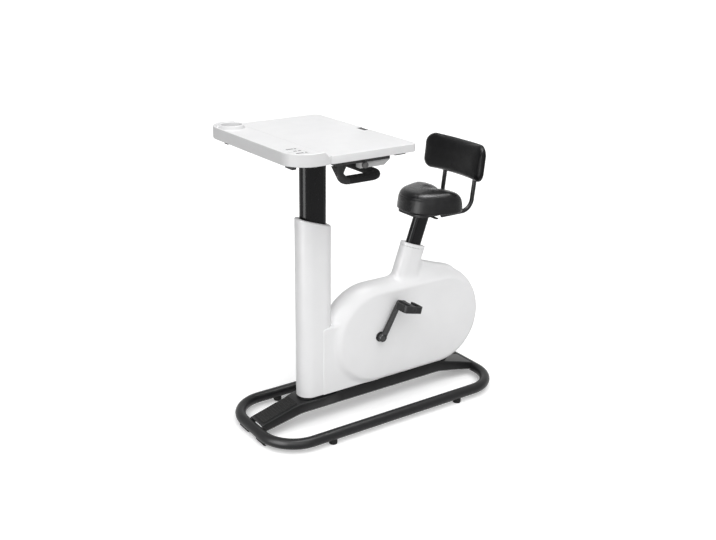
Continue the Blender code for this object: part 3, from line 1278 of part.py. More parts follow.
def make_joints():
    """One empty for each moving group, on its joint's axis."""
    desk = add_joint("desk_lift_joint", (COLUMN_X, 0, head_plate_z()))
    desktop = add_joint("desktop_slide_joint", (DESK_SEAM, 0, DESK_BOTTOM), desk)
    crank = add_joint("crank_joint", (CRANK_X, 0, CRANK_Z))
    seat = add_joint("seat_slide_joint", (POST_X, 0, POST_Z))
    joints = {"desk": desk, "desktop": desktop, "crank": crank, "seat": seat}
    joints["flywheel"] = add_joint("flywheel_joint", (FLYWHEEL_X, 0, FLYWHEEL_Z))
    for name, y in (("roller_left", -ROLLER_Y), ("roller_right", ROLLER_Y)):
        joints[name] = add_joint(name + "_joint", (-RING_HALF_LENGTH, y, ROLLER_AXLE_Z))
    for name, side in (("left", -1), ("right", 1)):
        x, z = crank_end(side)
        joints["pedal_" + name] = add_joint("pedal_" + name + "_joint",
                                            (x, side * CRANK_OUTER, z), crank)
        joints["rail_knob_" + name] = add_joint("rail_knob_" + name + "_joint",
                                                (KNOB_X, side * RAIL_Y, KNOB_Z), desk)
    for name, y in button_places().items():
        joints[name] = add_joint(name + "_joint", (PANEL_X, y, DESK_TOP), desk)
    paddle_z = DESK_TOP - EDGE_GAP - PADDLE_THICKNESS / 2
    joints["height_paddle"] = add_joint(
        "height_paddle_joint", (DESK_REAR - PADDLE_LENGTH + PADDLE_PIVOT_INSET, PADDLE_Y,
                                paddle_z), desktop)
    lever_y = SLIDE_LEVER_Y - SLIDE_LEVER_PIVOT_INSET
    lever_z = DESK_BOTTOM - SLIDE_LEVER_GAP - SLIDE_LEVER_THICKNESS / 2
    joints["slide_lever"] = add_joint("slide_lever_joint", (SLIDE_LEVER_X, lever_y, lever_z),
                                      desktop)
    seat_lever_z = PAN_BOTTOM - SEAT_LEVER_DROP - SEAT_LEVER_THICKNESS / 2
    seat_lever_y = -SEAT_POST_HALF_WIDTH - SLIDE_GAP - SEAT_LEVER_PIVOT_INSET
    joints["seat_lever"] = add_joint("seat_lever_joint",
                                     (SEAT_LEVER_X, seat_lever_y, seat_lever_z), seat)
    return joints


def main():
    clear_scene()
    joints = make_joints()
    build_ring()
    build_feet()
    build_rollers(joints)
    build_beam()
    build_tread()
    build_column()
    build_inner_column(joints["desk"])
    build_tray(joints["desk"])
    build_panel(joints["desk"], joints)
    build_desk_frame(joints["desk"])
    build_desktop(joints["desktop"], joints)
    build_rails(joints["desk"], joints["desktop"], joints)
    build_handlebar(joints["desk"])
    build_housing()
    build_collar()
    build_main_frame()
    build_seat_bush()
    build_crank_bearings()
    build_cranks(joints["crank"])
    build_pedals(joints)
    build_belt()
    build_flywheel(joints["flywheel"])
    build_brake_magnet()
    build_seat_post(joints["seat"])
    build_seat(joints["seat"], joints)
    build_backrest(joints["seat"])


main()
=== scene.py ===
"""Looks of a desk exercise bike: moulded covers, painted frame, desk, saddle and finishes.

Metres, +Z up.  The rider faces -X, so the rider's left is -Y.
"""

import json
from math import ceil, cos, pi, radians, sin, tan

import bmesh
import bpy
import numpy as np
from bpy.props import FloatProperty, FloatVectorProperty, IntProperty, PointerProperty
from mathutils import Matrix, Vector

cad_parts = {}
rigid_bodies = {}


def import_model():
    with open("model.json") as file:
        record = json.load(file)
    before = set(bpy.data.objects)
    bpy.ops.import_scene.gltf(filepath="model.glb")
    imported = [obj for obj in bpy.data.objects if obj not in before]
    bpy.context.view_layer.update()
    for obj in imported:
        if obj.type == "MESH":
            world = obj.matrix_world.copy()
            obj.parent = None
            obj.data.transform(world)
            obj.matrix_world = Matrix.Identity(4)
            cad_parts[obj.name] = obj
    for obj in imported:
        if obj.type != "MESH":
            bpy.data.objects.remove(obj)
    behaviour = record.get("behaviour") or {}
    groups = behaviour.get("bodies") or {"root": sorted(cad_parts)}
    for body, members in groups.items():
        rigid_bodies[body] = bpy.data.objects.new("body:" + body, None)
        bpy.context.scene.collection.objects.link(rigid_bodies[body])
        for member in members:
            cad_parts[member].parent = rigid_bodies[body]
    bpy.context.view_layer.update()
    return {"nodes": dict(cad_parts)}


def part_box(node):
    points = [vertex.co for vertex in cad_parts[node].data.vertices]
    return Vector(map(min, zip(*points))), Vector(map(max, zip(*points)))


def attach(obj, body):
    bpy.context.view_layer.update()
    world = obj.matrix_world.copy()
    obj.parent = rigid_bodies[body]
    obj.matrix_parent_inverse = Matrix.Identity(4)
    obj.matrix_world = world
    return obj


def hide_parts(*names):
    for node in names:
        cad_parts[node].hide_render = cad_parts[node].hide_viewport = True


bl_info = {
    "name": "Desk Exercise Bike",
    "version": (1, 0, 0),
    "blender": (4, 5, 0),
    "location": "View3D > Sidebar > Desk Bike",
    "description": "Builds the covers, desk, seat and finishes of a desk exercise bike",
    "category": "Object",
}

for leftover in list(bpy.data.objects):
    bpy.data.objects.remove(leftover, do_unlink=True)
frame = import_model()

SIDES = (("left", -1), ("right", 1))
GAP = 0.0003  # between pieces that are cut to fit each other
COLUMN_X = -0.286
RING_RADIUS = 0.023


# Sizes and colours that a user may change

def length(name, description, default):
    return FloatProperty(name=name, description=description, default=default, unit="LENGTH")


def turn(name, description, default):
    return FloatProperty(name=name, description=description, default=radians(default),
                         unit="ROTATION")


def tint(name, description, default):
    return FloatVectorProperty(name=name, description=description, default=default, size=3,
                               subtype="COLOR", min=0.0, max=1.0)


def amount(name, description, default):
    return FloatProperty(name=name, description=description, default=default, min=0.0)


def count(name, description, default):
    return IntProperty(name=name, description=description, default=default, min=1)


class BikeColours(bpy.types.PropertyGroup):
    """Base colours of the finishes"""
    shell: tint("White shell", "Moulded covers of the column and the drive", (0.80, 0.80, 0.805))
    board: tint("White board", "Desktop board and front tray", (0.79, 0.79, 0.795))
    powder: tint("Powder coat", "Painted steel of the base and brackets", (0.0045, 0.0045, 0.0050))
    gloss: tint("Gloss black", "Painted tubes that slide", (0.0035, 0.0035, 0.004))
    plastic: tint("Black plastic", "Moulded black pieces", (0.0075, 0.0075, 0.008))
    foam: tint("Foam grip", "Foam sleeve of the handlebar", (0.0065, 0.0065, 0.007))
    rubber: tint("Rubber", "Feet, rollers and tread", (0.009, 0.009, 0.009))
    steel: tint("Bare steel", "Axles, bearings and bolts", (0.52, 0.52, 0.53))
    iron: tint("Cast iron", "Flywheel", (0.10, 0.10, 0.105))
    grey: tint("Grey plastic", "Wedge brackets under the desktop", (0.42, 0.42, 0.42))
    leather: tint("Leatherette", "Cover of the saddle and backrest", (0.0065, 0.0065, 0.007))
    # This light grey is a painted highlight that stands for the beam's lit lower lip.
    hem: tint("Hem paint", "Painted highlight along the beam's lower hem", (0.30, 0.30, 0.30))
    crank: tint("Crank paint", "Satin paint of the cranks", (0.020, 0.020, 0.021))
    knob: tint("Knob grey", "Clamp knobs under the desktop", (0.085, 0.085, 0.085))
    mark: tint("Key marks", "Printed marks on the keys", (0.030, 0.030, 0.033))


class BikeBaseSizes(bpy.types.PropertyGroup):
    """Sizes of the base ring and the beam"""
    ring_corner: length("Ring corner", "Radius of the ring's corners", 0.155)
    foot_edge: length("Foot edge", "Rounding of a foot's lower edge", 0.002)
    beam_flat: length("Beam flat", "Half length of the beam's level top", 0.372)
    beam_end: length("Beam end", "Half length of the beam", 0.572)
    beam_rise: length("Beam end rise", "Top of the beam's end above the ring's middle", 0.0275)
    beam_wrap: length("Beam end wrap", "Foot of the beam's end below the ring's middle", 0.0095)
    beam_half_width: length("Beam half width", "Half width of the beam", 0.050)
    beam_bottom: length("Beam bottom", "Height of the beam's lower edge", 0.068)
    beam_wall: length("Beam wall", "Wall of the beam", 0.0025)
    beam_edge: length("Beam edge", "Rounding of the beam's upper edges", 0.006)
    beam_ease: length("Beam ease", "Easing where the ramps begin", 0.014)
    flange: length("Flange", "Half width of the beam at the column's foot", 0.065)
    ribs: count("Tread ribs", "Ribs across the front tread", 14)
    rib_height: length("Rib height", "Height of a tread rib", 0.0016)


class BikeColumnSizes(bpy.types.PropertyGroup):
    """Sizes of the column that carries the desk"""
    cover_top: length("Cover top", "Height of the cover's top at its middle", 0.9005)
    cover_slope: amount("Cover slope", "Fall of the cover's top along the bike", 0.324)
    cover_edge: length("Cover edge", "Rounding of the cover's upper edge", 0.007)
    wall: length("Cover wall", "Wall of the cover", 0.003)
    room: length("Room", "Room around the inner column", 0.0015)
    foot_gap: length("Foot gap", "Shadow gap under the cover", 0.004)


class BikeDeskSizes(bpy.types.PropertyGroup):
    """Sizes of the tray, the board and what hangs under them"""
    board_top: length("Desk top", "Height of the work surface", 1.2567)
    front_corner: length("Front corner", "Radius of the tray's front corners", 0.100)
    rear_corner: length("Rear corner", "Radius of the board's rear corners", 0.026)
    board_edge: length("Board edge", "Rounding of the board's edges", 0.003)
    lip_flat: length("Lip flat", "Width of the lip's level top", 0.004)
    lip_foot: length("Lip foot", "Where the lip runs out into the tray", 0.022)
    lip_full: length("Lip full", "Where the lip starts to run down", -0.458)
    lip_end: length("Lip end", "Where the lip ends", -0.431)
    end_taper: length("End taper", "How far the tray's sides turn in at its rear", 0.005)
    seam: length("Seam", "Gap between the tray and the board", 0.0008)
    cup_x: length("Cup x", "Middle of the cup recess along the bike", -0.495)
    cup_y: length("Cup y", "Middle of the cup recess across the bike", 0.285)
    cup_radius: length("Cup radius", "Radius of the cup recess", 0.0425)
    cup_depth: length("Cup depth", "Depth of the cup recess below the lip", 0.022)
    pod_width: length("Pod width", "Width of the rim around the cup", 0.012)
    grip_z: length("Handlebar height", "Height of the handlebar", 1.143)
    grip_radius: length("Grip radius", "Radius of the foam grip", 0.017)
    grip_corner: length("Grip corner", "Radius of the handlebar's bends", 0.045)
    knob_flutes: count("Knob flutes", "Flutes around a knob", 16)


class BikeHousingSizes(bpy.types.PropertyGroup):
    """Sizes of the drive housing"""
    crank_x: length("Crank x", "Crank axis along the bike", 0.0155)
    crank_z: length("Crank height", "Crank axis above the floor", 0.341)
    face_radius: length("Face radius", "Radius of the flat faces' round ends", 0.199)
    face_half: length("Face half", "Half distance between the faces", 0.070)
    crown: length("Crown", "Swelling of the rim between the faces", 0.036)
    face_front: length("Face front", "Middle of the faces' front round", 0.0145)
    crown_front: length("Crown front", "Middle of the crown's front round", -0.012)
    rear: length("Rear", "Middle of the rear round", 0.366)
    plinth_half: length("Plinth half", "Half width of the front plinth", 0.055)
    plinth_front: length("Plinth front", "Front end of the plinth", -0.271)
    plinth_top: length("Plinth top", "Height of the plinth", 0.436)
    ridge_half: length("Ridge half", "Half width of the ridge behind the sleeve", 0.022)
    ridge_front_z: length("Ridge front", "Ridge height behind the sleeve", 0.623)
    ridge_rear_x: length("Ridge rear x", "Rear end of the ridge", 0.445)
    ridge_rear_z: length("Ridge rear z", "Height of the ridge's rear end", 0.566)
    post_x: length("Post x", "Seat post's reference point along the bike", 0.2365)
    post_z: length("Post z", "Height of the seat post's reference point", 0.711)
    post_tilt: turn("Post tilt", "Lean of the seat post", 19.2)
    sleeve_length: length("Sleeve half length", "Half length of the sleeve's section", 0.060)
    sleeve_width: length("Sleeve half width", "Half width of the sleeve's section", 0.038)
    collar_height: length("Collar height", "Height of the collar", 0.014)
    wall: length("Wall", "Wall of the housing", 0.003)
    foot_gap: length("Foot gap", "Shadow gap under the housing", 0.004)
    cell: length("Cell", "Mesh size of the housing", 0.0038)


class BikeDriveSizes(bpy.types.PropertyGroup):
    """Sizes of the cranks and the pedals"""
    crank_length: length("Crank length", "From the crank axis to the pedal axis", 0.170)
    crank_angle: turn("Crank angle", "Left crank's angle above the rear", 60.4)
    crank_outer: length("Crank outer", "Outer face of a crank from the middle", 0.097)
    crank_thickness: length("Crank thickness", "Thickness of a crank", 0.013)
    crank_half_width: length("Crank half width", "Half width of a crank", 0.010)
    boss_radius: length("Boss radius", "Radius of the crank's boss", 0.018)
    pedal_length: length("Pedal length", "Length of a pedal", 0.096)
    pedal_width: length("Pedal width", "Width of a pedal", 0.096)
    pedal_thickness: length("Pedal thickness", "Thickness of a pedal", 0.030)
    pedal_bar: length("Pedal bar", "Width of the pedal's frame", 0.008)
    pedal_barrel: length("Pedal barrel", "Radius of the pedal's barrel", 0.014)
    pedal_tilt: turn("Pedal tilt", "Tilt of the pedals", -14.0)


class BikeSeatSizes(bpy.types.PropertyGroup):
    """Sizes of the saddle and the backrest"""
    cushion_top: length("Saddle top", "Height of the saddle", 0.957)
    skirt: length("Skirt", "Height of the saddle's side", 0.074)
    hem: length("Hem", "Saddle's lower edge above its pan", 0.0003)
    flare: length("Flare", "How far the saddle's side leans out to its hem", 0.006)
    nose_flare: length("Nose flare", "Further lean of the nose", 0.003)
    swell: length("Swell", "How far the padding may swell", 0.007)
    dip: length("Rear dip", "Depth of the hollow between the lobes", 0.016)
    bar_radius: length("Bar radius", "Radius of the backrest's tubes", 0.0095)
    bar_y: length("Bar y", "Backrest tubes from the middle", 0.100)
    bar_x: length("Bar x", "Backrest tubes' uprights along the bike", 0.4859)
    bar_front: length("Bar front", "Front end of the backrest's tubes", 0.3059)
    bar_bend: length("Bar bend", "Bend radius of the backrest's tubes", 0.055)
    back_tilt: turn("Back tilt", "Lean of the backrest", 5.5)
    tilt_z: length("Tilt height", "Height where the leaning line is measured", 0.930)
    pad_half_width: length("Pad half width", "Half width of the backrest", 0.200)
    pad_height: length("Pad height", "Height of the backrest", 0.172)
    pad_thickness: length("Pad thickness", "Thickness of the backrest", 0.038)
    pad_sweep: length("Pad sweep", "Forward sweep of the backrest's ends", 0.028)
    pad_z: length("Pad z", "Height of the backrest's middle", 1.069)


class BikeStageSettings(bpy.types.PropertyGroup):
    """Camera, lamps and floor"""
    lens: FloatProperty(name="Lens", description="Focal length on a 36 mm sensor",
                        default=47.94, unit="CAMERA")
    floor: tint("Floor", "Colour of the floor", (0.97, 0.97, 0.97))
    bounce: amount("Bounce", "Share of the floor's colour in the light it sends back", 0.62)
    glow: amount("Glow", "Light that the backdrop adds to the floor as seen", 0.22)
    sky: amount("Sky", "Strength of the light from all around", 0.34)
    key: amount("Key", "Strength of the soft light from above", 2.45)
    fill: amount("Fill", "Power of the light in front", 39.0)
    strip: amount("Strip", "Power of the tall strip, seen in gloss only", 105.0)
    gleam: amount("Gleam", "Power of the overhead box, seen in gloss only", 200.0)


# Shape helpers

def new_object(name, mesh):
    item = bpy.data.objects.new(name, mesh)
    bpy.context.scene.collection.objects.link(item)
    return item


def edited(item, change):
    """Change an object's mesh in place."""
    form = bmesh.new()
    form.from_mesh(item.data)
    change(form)
    form.to_mesh(item.data)
    form.free()
    return item


def outward(item):
    return edited(item, lambda form: bmesh.ops.recalc_face_normals(form, faces=form.faces))


def mesh_piece(name, points, faces):
    mesh = bpy.data.meshes.new(name)
    mesh.from_pydata(np.asarray(points, float).tolist(), [], faces)
    return outward(new_object(name, mesh))


def settled(item):
    """Apply an object's modifiers, or turn a curve into a mesh, and keep its name."""
    bpy.context.view_layer.update()
    shape = item.evaluated_get(bpy.context.evaluated_depsgraph_get())
    mesh = bpy.data.meshes.new_from_object(shape)
    mesh.transform(item.matrix_world)
    name = item.name
    bpy.data.objects.remove(item, do_unlink=True)
    return new_object(name, mesh)


def smooth(item, angle):
    item.data.shade_smooth()
    item.data.set_sharp_from_angle(angle=radians(angle))
    return item


def welded(item):
    def weld(form):
        bmesh.ops.remove_doubles(form, verts=form.verts, dist=0.00001)

    return outward(edited(item, weld))


def softened(item, width, segments, angle=40):
    """Round every edge sharper than the angle."""
    bevel = item.modifiers.new("edge", "BEVEL")
    bevel.width = width
    bevel.segments = segments
    bevel.limit_method = "ANGLE"
    bevel.angle_limit = radians(angle)
    bevel.harden_normals = True
    item.data.shade_smooth()
    return settled(item)


def carved(item, cutter):
    """Cut the cutter's space out of an item; the cutter is used up."""
    boolean = item.modifiers.new("cut", "BOOLEAN")
    boolean.operation = "DIFFERENCE"
    boolean.solver = "EXACT"
    boolean.object = cutter
    result = settled(item)
    bpy.data.objects.remove(cutter, do_unlink=True)
    return result


def arc(centre, radius, start, end, steps):
    angles = [radians(start + (end - start) * step / steps) for step in range(steps + 1)]
    return [(centre[0] + radius * cos(a), centre[1] + radius * sin(a)) for a in angles]


def obround(half_length, half_width):
    reach = half_length - half_width
    return (arc((reach, 0), half_width, -90, 90, 24)
            + arc((-reach, 0), half_width, 90, 270, 24))


def rounded(low, high, radius, steps=8):
    (left, bottom), (right, top) = low, high
    return (arc((right - radius, bottom + radius), radius, -90, 0, steps)
            + arc((right - radius, top - radius), radius, 0, 90, steps)
            + arc((left + radius, top - radius), radius, 90, 180, steps)
            + arc((left + radius, bottom + radius), radius, 180, 270, steps))


def skin(name, rows, closed=False):
    """Faces between rings of points, with ends; closed joins the last ring to the first."""
    around = len(rows[0])
    faces = []
    for row in range(len(rows) if closed else len(rows) - 1):
        here, there = row * around, (row + 1) % len(rows) * around
        for step in range(around):
            after = (step + 1) % around
            faces.append((here + step, here + after, there + after, there + step))
    if not closed:
        faces.append(tuple(range(around - 1, -1, -1)))
        faces.append(tuple(range((len(rows) - 1) * around, len(rows) * around)))
    return mesh_piece(name, np.concatenate([np.asarray(row, float) for row in rows]), faces)


def sweep(name, path, radius, sides, closed=False, normal=(0, 0, 1)):
    """A round tube along a flat path; radius may be one number for each point."""
    path = np.asarray(path, float)
    before, after = np.roll(path, 1, axis=0), np.roll(path, -1, axis=0)
    if not closed:
        before[0], after[-1] = path[0], path[-1]
    along = after - before
    along /= np.linalg.norm(along, axis=1)[:, None]
    across = np.cross(along, normal)
    across /= np.linalg.norm(across, axis=1)[:, None]
    angles = np.linspace(0, 2 * pi, sides, endpoint=False)
    spread = np.broadcast_to(np.asarray(radius, float), (len(path),))[:, None, None]
    ring = (np.cos(angles)[None, :, None] * across[:, None, :]
            + np.sin(angles)[None, :, None] * np.asarray(normal, float)[None, None, :])
    return skin(name, path[:, None, :] + spread * ring, closed=closed)


def domed(path, radius, dome):
    """Lengthen both ends of a path by a rounded end of the given depth."""
    path = [Vector(point) for point in path]
    first = (path[0] - path[1]).normalized()
    last = (path[-1] - path[-2]).normalized()
    angles = [pi / 2 * step / 6 for step in range(1, 7)]
    start = [path[0] + first * dome * (sin(a) - 1) for a in reversed(angles)]
    end = [path[-1] + last * dome * (sin(a) - 1) for a in angles]
    ends = [radius * max(cos(a), 0.02) for a in angles]
    middle = [path[0] - first * dome, *path[1:-1], path[-1] - last * dome]
    radii = list(reversed(ends)) + [radius] * len(middle) + ends
    return start + middle + end, radii


def turned(name, profile, centre, axis="Y", steps=48, ring=False):
    """A profile of (radius, along) turned about an axis through the centre."""
    angles = [2 * pi * step / steps for step in range(steps)]
    rows = []
    for radius, along in profile:
        if axis == "Y":
            rows.append([(radius * cos(a), along, radius * sin(a)) for a in angles])
        else:
            rows.append([(radius * cos(a), radius * sin(a), along) for a in angles])
    item = skin(name, rows, closed=ring)
    item.data.transform(Matrix.Translation(centre))
    return item


def prism(name, outlines, low, high, plane="XY"):
    """A flat outline with any holes, given a thickness along its plane's normal."""
    curve = bpy.data.curves.new(name, "CURVE")
    curve.dimensions = "2D"
    curve.fill_mode = "BOTH"
    curve.extrude = (high - low) / 2
    for outline in outlines:
        spline = curve.splines.new("POLY")
        spline.points.add(len(outline) - 1)
        for point, (across, up) in zip(spline.points, outline):
            point.co = (across, up, 0, 1)
        spline.use_cyclic_u = True
    item = new_object(name, curve)
    item.matrix_world = Matrix.Translation((0, 0, (high + low) / 2))
    if plane == "XZ":
        item.matrix_world = (Matrix.Translation((0, (high + low) / 2, 0))
                             @ Matrix.Rotation(pi / 2, 4, "X"))
    return welded(settled(item))


def slab(name, outlines, low, high, edge, segments=3, plane="XY"):
    return softened(prism(name, outlines, low, high, plane), edge, segments)


def rounded_block(name, low, high, edge, segments=3):
    form = bmesh.new()
    bmesh.ops.create_cube(form, size=1.0)
    size, middle = Vector(high) - Vector(low), (Vector(high) + Vector(low)) / 2
    form.transform(Matrix.Translation(middle) @ Matrix.Diagonal((*size, 1.0)))
    mesh = bpy.data.meshes.new(name)
    form.to_mesh(mesh)
    form.free()
    return softened(new_object(name, mesh), edge, segments)


def joined(name, *items):
    """One object made of several, which are used up."""
    form = bmesh.new()
    for item in items:
        form.from_mesh(item.data)
        bpy.data.objects.remove(item, do_unlink=True)
    mesh = bpy.data.meshes.new(name)
    form.to_mesh(mesh)
    form.free()
    return new_object(name, mesh)


def open_shell(name, outer, inner):
    """A sheet of some thickness between two matching grids of points."""
    rows, across = len(outer), len(outer[0])
    under = rows * across
    faces = []
    for row in range(rows - 1):
        for step in range(across - 1):
            a, b = row * across + step, (row + 1) * across + step
            faces.append((a, a + 1, b + 1, b))
            faces.append((under + a, under + b, under + b + 1, under + a + 1))
        for step in (0, across - 1):
            a, b = row * across + step, (row + 1) * across + step
            faces.append((a, b, under + b, under + a))
    for row in (0, rows - 1):
        for step in range(across - 1):
            a = row * across + step
            faces.append((a, a + 1, under + a + 1, under + a))
    points = [point for grid in (outer, inner) for line in grid for point in line]
    return mesh_piece(name, points, faces)


# Fields: smooth forms as functions that are negative inside

def smooth_min(a, b, width):
    blend = np.maximum(width - np.abs(a - b), 0) / width
    return np.minimum(a, b) - blend * blend * width / 4


def smooth_max(a, b, width):
    return -smooth_min(-a, -b, width)


def smooth_step(value, start, end):
    share = np.clip((value - start) / (end - start), 0, 1)
    return share * share * (3 - 2 * share)


def slope_of(field, points, step):
    slope = np.empty_like(points)
    for axis in range(3):
        shift = np.zeros(3)
        shift[axis] = step
        slope[:, axis] = (field(*(points + shift).T) - field(*(points - shift).T)) / (2 * step)
    return slope


def pulled(points, field, cell):
    """Move points down the field's slope until they lie on its zero surface."""
    for _ in range(3):
        slope = slope_of(field, points, cell * 0.05)
        move = slope * (field(*points.T) / np.maximum((slope ** 2).sum(1), 1e-4))[:, None]
        reach = np.linalg.norm(move, axis=1)[:, None]
        points = points - move * np.minimum(1, cell / np.maximum(reach, 1e-12))
    return points


def evened(points, quads):
    """Move each point to the middle of its neighbours."""
    total, number = np.zeros_like(points), np.zeros(len(points))
    for first, second in ((0, 1), (1, 2), (2, 3), (3, 0)):
        for a, b in ((first, second), (second, first)):
            np.add.at(total, quads[:, a], points[quads[:, b]])
            np.add.at(number, quads[:, a], 1)
    return total / np.maximum(number, 1)[:, None]


def field_surface(name, field, low, high, cell):
    """Mesh a field's zero surface: one point in each cell that it crosses, then pulled on."""
    low = np.asarray(low, float) - 1.5 * cell
    counts = [ceil((top - bottom) / cell) + 3 for bottom, top in zip(low, high)]
    axes = [low[axis] + cell * np.arange(counts[axis]) for axis in range(3)]
    value = field(*np.meshgrid(*axes, indexing="ij"))
    total = np.zeros((*[number - 1 for number in counts], 3))
    number = np.zeros(total.shape[:3], int)
    crossings = []
    for axis in range(3):
        lower = np.take(value, range(counts[axis] - 1), axis)
        upper = np.take(value, range(1, counts[axis]), axis)
        edges = np.argwhere((lower < 0) != (upper < 0))
        at = tuple(edges.T)
        places = edges.astype(float)
        places[:, axis] += lower[at] / (lower[at] - upper[at])
        u, v = (axis + 1) % 3, (axis + 2) % 3
        corners = []
        for du, dv in ((1, 1), (0, 1), (0, 0), (1, 0)):
            cells = edges.copy()
            cells[:, u] -= du
            cells[:, v] -= dv
            where = tuple(cells.T)
            np.add.at(total, where, places)
            np.add.at(number, where, 1)
            corners.append(cells)
        crossings.append((corners, lower[at] < 0))
    index = np.full(number.shape, -1)
    used = number > 0
    index[used] = np.arange(used.sum())
    points = low + cell * total[used] / number[used][:, None]
    quads = []
    for corners, rising in crossings:
        quad = np.stack([index[tuple(cells.T)] for cells in corners], axis=1)
        quads += [quad[rising], quad[~rising][:, ::-1]]
    quads = np.concatenate(quads)
    points = pulled(points, field, cell)
    for _ in range(2):
        points = pulled(evened(points, quads), field, cell)
    mesh = bpy.data.meshes.new(name)
    mesh.from_pydata(points.tolist(), [], quads.tolist())
    return new_object(name, mesh)


# Finishes

def principled(material):
    return material.node_tree.nodes["Principled BSDF"]


def new_finish(name, roughness, metallic=0.0, specular=0.5, **sockets):
    """A node material; values that are the same all over are set on the shader itself."""
    material = bpy.data.materials.new(name)
    material.use_nodes = True
    shader = principled(material)
    shader.inputs["Roughness"].default_value = roughness
    shader.inputs["Metallic"].default_value = metallic
    shader.inputs["Specular IOR Level"].default_value = specular
    for socket, value in sockets.items():
        shader.inputs[socket.replace("_", " ")].default_value = value
    return material


def add_node(material, kind, **values):
    node = material.node_tree.nodes.new("ShaderNode" + kind)
    for key, value in values.items():
        if hasattr(node, key):
            setattr(node, key, value)
        else:
            node.inputs[key.replace("_", " ")].default_value = value
    return node


def link(material, output, target):
    material.node_tree.links.new(output, target)


def place_of(material, stretch=(1, 1, 1)):
    """Coordinates on the piece itself, stretched along each axis."""
    source = add_node(material, "TexCoord")
    mapping = add_node(material, "Mapping")
    mapping.inputs["Scale"].default_value = stretch
    link(material, source.outputs["Object"], mapping.inputs["Vector"])
    return mapping.outputs["Vector"]


def ramped(material, value, low, high, start=0.35, end=0.65):
    ramp = add_node(material, "ValToRGB")
    ramp.color_ramp.elements[0].position = start
    ramp.color_ramp.elements[1].position = end
    ramp.color_ramp.elements[0].color = (*low, 1)
    ramp.color_ramp.elements[1].color = (*high, 1)
    link(material, value, ramp.inputs["Fac"])
    return ramp.outputs["Color"]


WORN_TONE = (0.22, 0.22, 0.22, 1)


def mottled(material, colour, spread, scale, worn=0.0, stretch=(1, 1, 1)):
    """Cloudy changes of the base colour, with lighter worn edges where asked."""
    noise = add_node(material, "TexNoise", Scale=scale, Detail=4.0)
    link(material, place_of(material, stretch), noise.inputs["Vector"])
    low = [part * (1 - spread) for part in colour]
    high = [min(part * (1 + spread), 1) for part in colour]
    cloud = ramped(material, noise.outputs["Fac"], low, high)
    if worn:
        shape = add_node(material, "NewGeometry")
        mix = add_node(material, "Mix", data_type="RGBA")
        edge = ramped(material, shape.outputs["Pointiness"], (0, 0, 0), (worn,) * 3, 0.52, 0.62)
        link(material, edge, mix.inputs["Factor"])
        link(material, cloud, mix.inputs["A"])
        mix.inputs["B"].default_value = WORN_TONE
        cloud = mix.outputs["Result"]
    link(material, cloud, principled(material).inputs["Base Color"])


def uneven_gloss(material, low, high, scale):
    noise = add_node(material, "TexNoise", Scale=scale, Detail=3.0)
    link(material, place_of(material), noise.inputs["Vector"])
    spread = add_node(material, "MapRange", To_Min=low, To_Max=high)
    link(material, noise.outputs["Fac"], spread.inputs["Value"])
    link(material, spread.outputs["Result"], principled(material).inputs["Roughness"])


def grained(material, scale, height, detail=2.0, stretch=(1, 1, 1), cells=False):
    """Bump of fine noise, or of leather-like cells with creases."""
    place = place_of(material, stretch)
    noise = add_node(material, "TexNoise", Scale=scale, Detail=detail)
    link(material, place, noise.inputs["Vector"])
    value = noise.outputs["Fac"]
    if cells:
        grain = add_node(material, "TexVoronoi", feature="DISTANCE_TO_EDGE", Scale=scale)
        link(material, place, grain.inputs["Vector"])
        crease = add_node(material, "MapRange", From_Max=0.22)
        link(material, grain.outputs["Distance"], crease.inputs["Value"])
        both = add_node(material, "Math", operation="MULTIPLY_ADD")
        both.inputs[1].default_value = 0.35
        link(material, noise.outputs["Fac"], both.inputs[0])
        link(material, crease.outputs["Result"], both.inputs[2])
        value = both.outputs["Value"]
    bump = add_node(material, "Bump", Strength=0.6, Distance=height)
    link(material, value, bump.inputs["Height"])
    link(material, bump.outputs["Normal"], principled(material).inputs["Normal"])


def paint_side_shade(material, share):
    """Painted shade: darken the steep sides of a board, which the light from above reaches less.
    """
    shader = principled(material)
    face = shader.inputs["Base Color"].links[0].from_socket
    place = add_node(material, "TexCoord")
    parts = add_node(material, "SeparateXYZ")
    link(material, place.outputs["Normal"], parts.inputs["Vector"])
    level = add_node(material, "MapRange", From_Min=0.25, From_Max=0.75)
    link(material, parts.outputs["Z"], level.inputs["Value"])
    side_shade_ramp = ramped(material, level.outputs["Result"], (share,) * 3, (1, 1, 1), 0.0, 1.0)
    mix = add_node(material, "Mix", data_type="RGBA", blend_type="MULTIPLY")
    mix.inputs["Factor"].default_value = 1.0
    link(material, face, mix.inputs["A"])
    link(material, side_shade_ramp, mix.inputs["B"])
    link(material, mix.outputs["Result"], shader.inputs["Base Color"])


def made_finish(name, colour, cloud, band=None, gloss=None, grain=None, shade=1.0, **shader):
    """Clouds of a colour, darkened as painted shade where asked, then painted shade on steep
    sides, uneven gloss and grain where given.
    """
    material = new_finish(name, **shader)
    base = getattr(bpy.context.scene.bike_colours, colour)
    # A factor below 1 darkens the colour for a shaded copy of a material: painted shade.
    mottled(material, [part * shade for part in base], **cloud)
    # Painted shade on steep sides, where it is asked for.
    if band:
        paint_side_shade(material, band)
    if gloss:
        uneven_gloss(material, *gloss)
    if grain:
        grained(material, **grain)
    return material


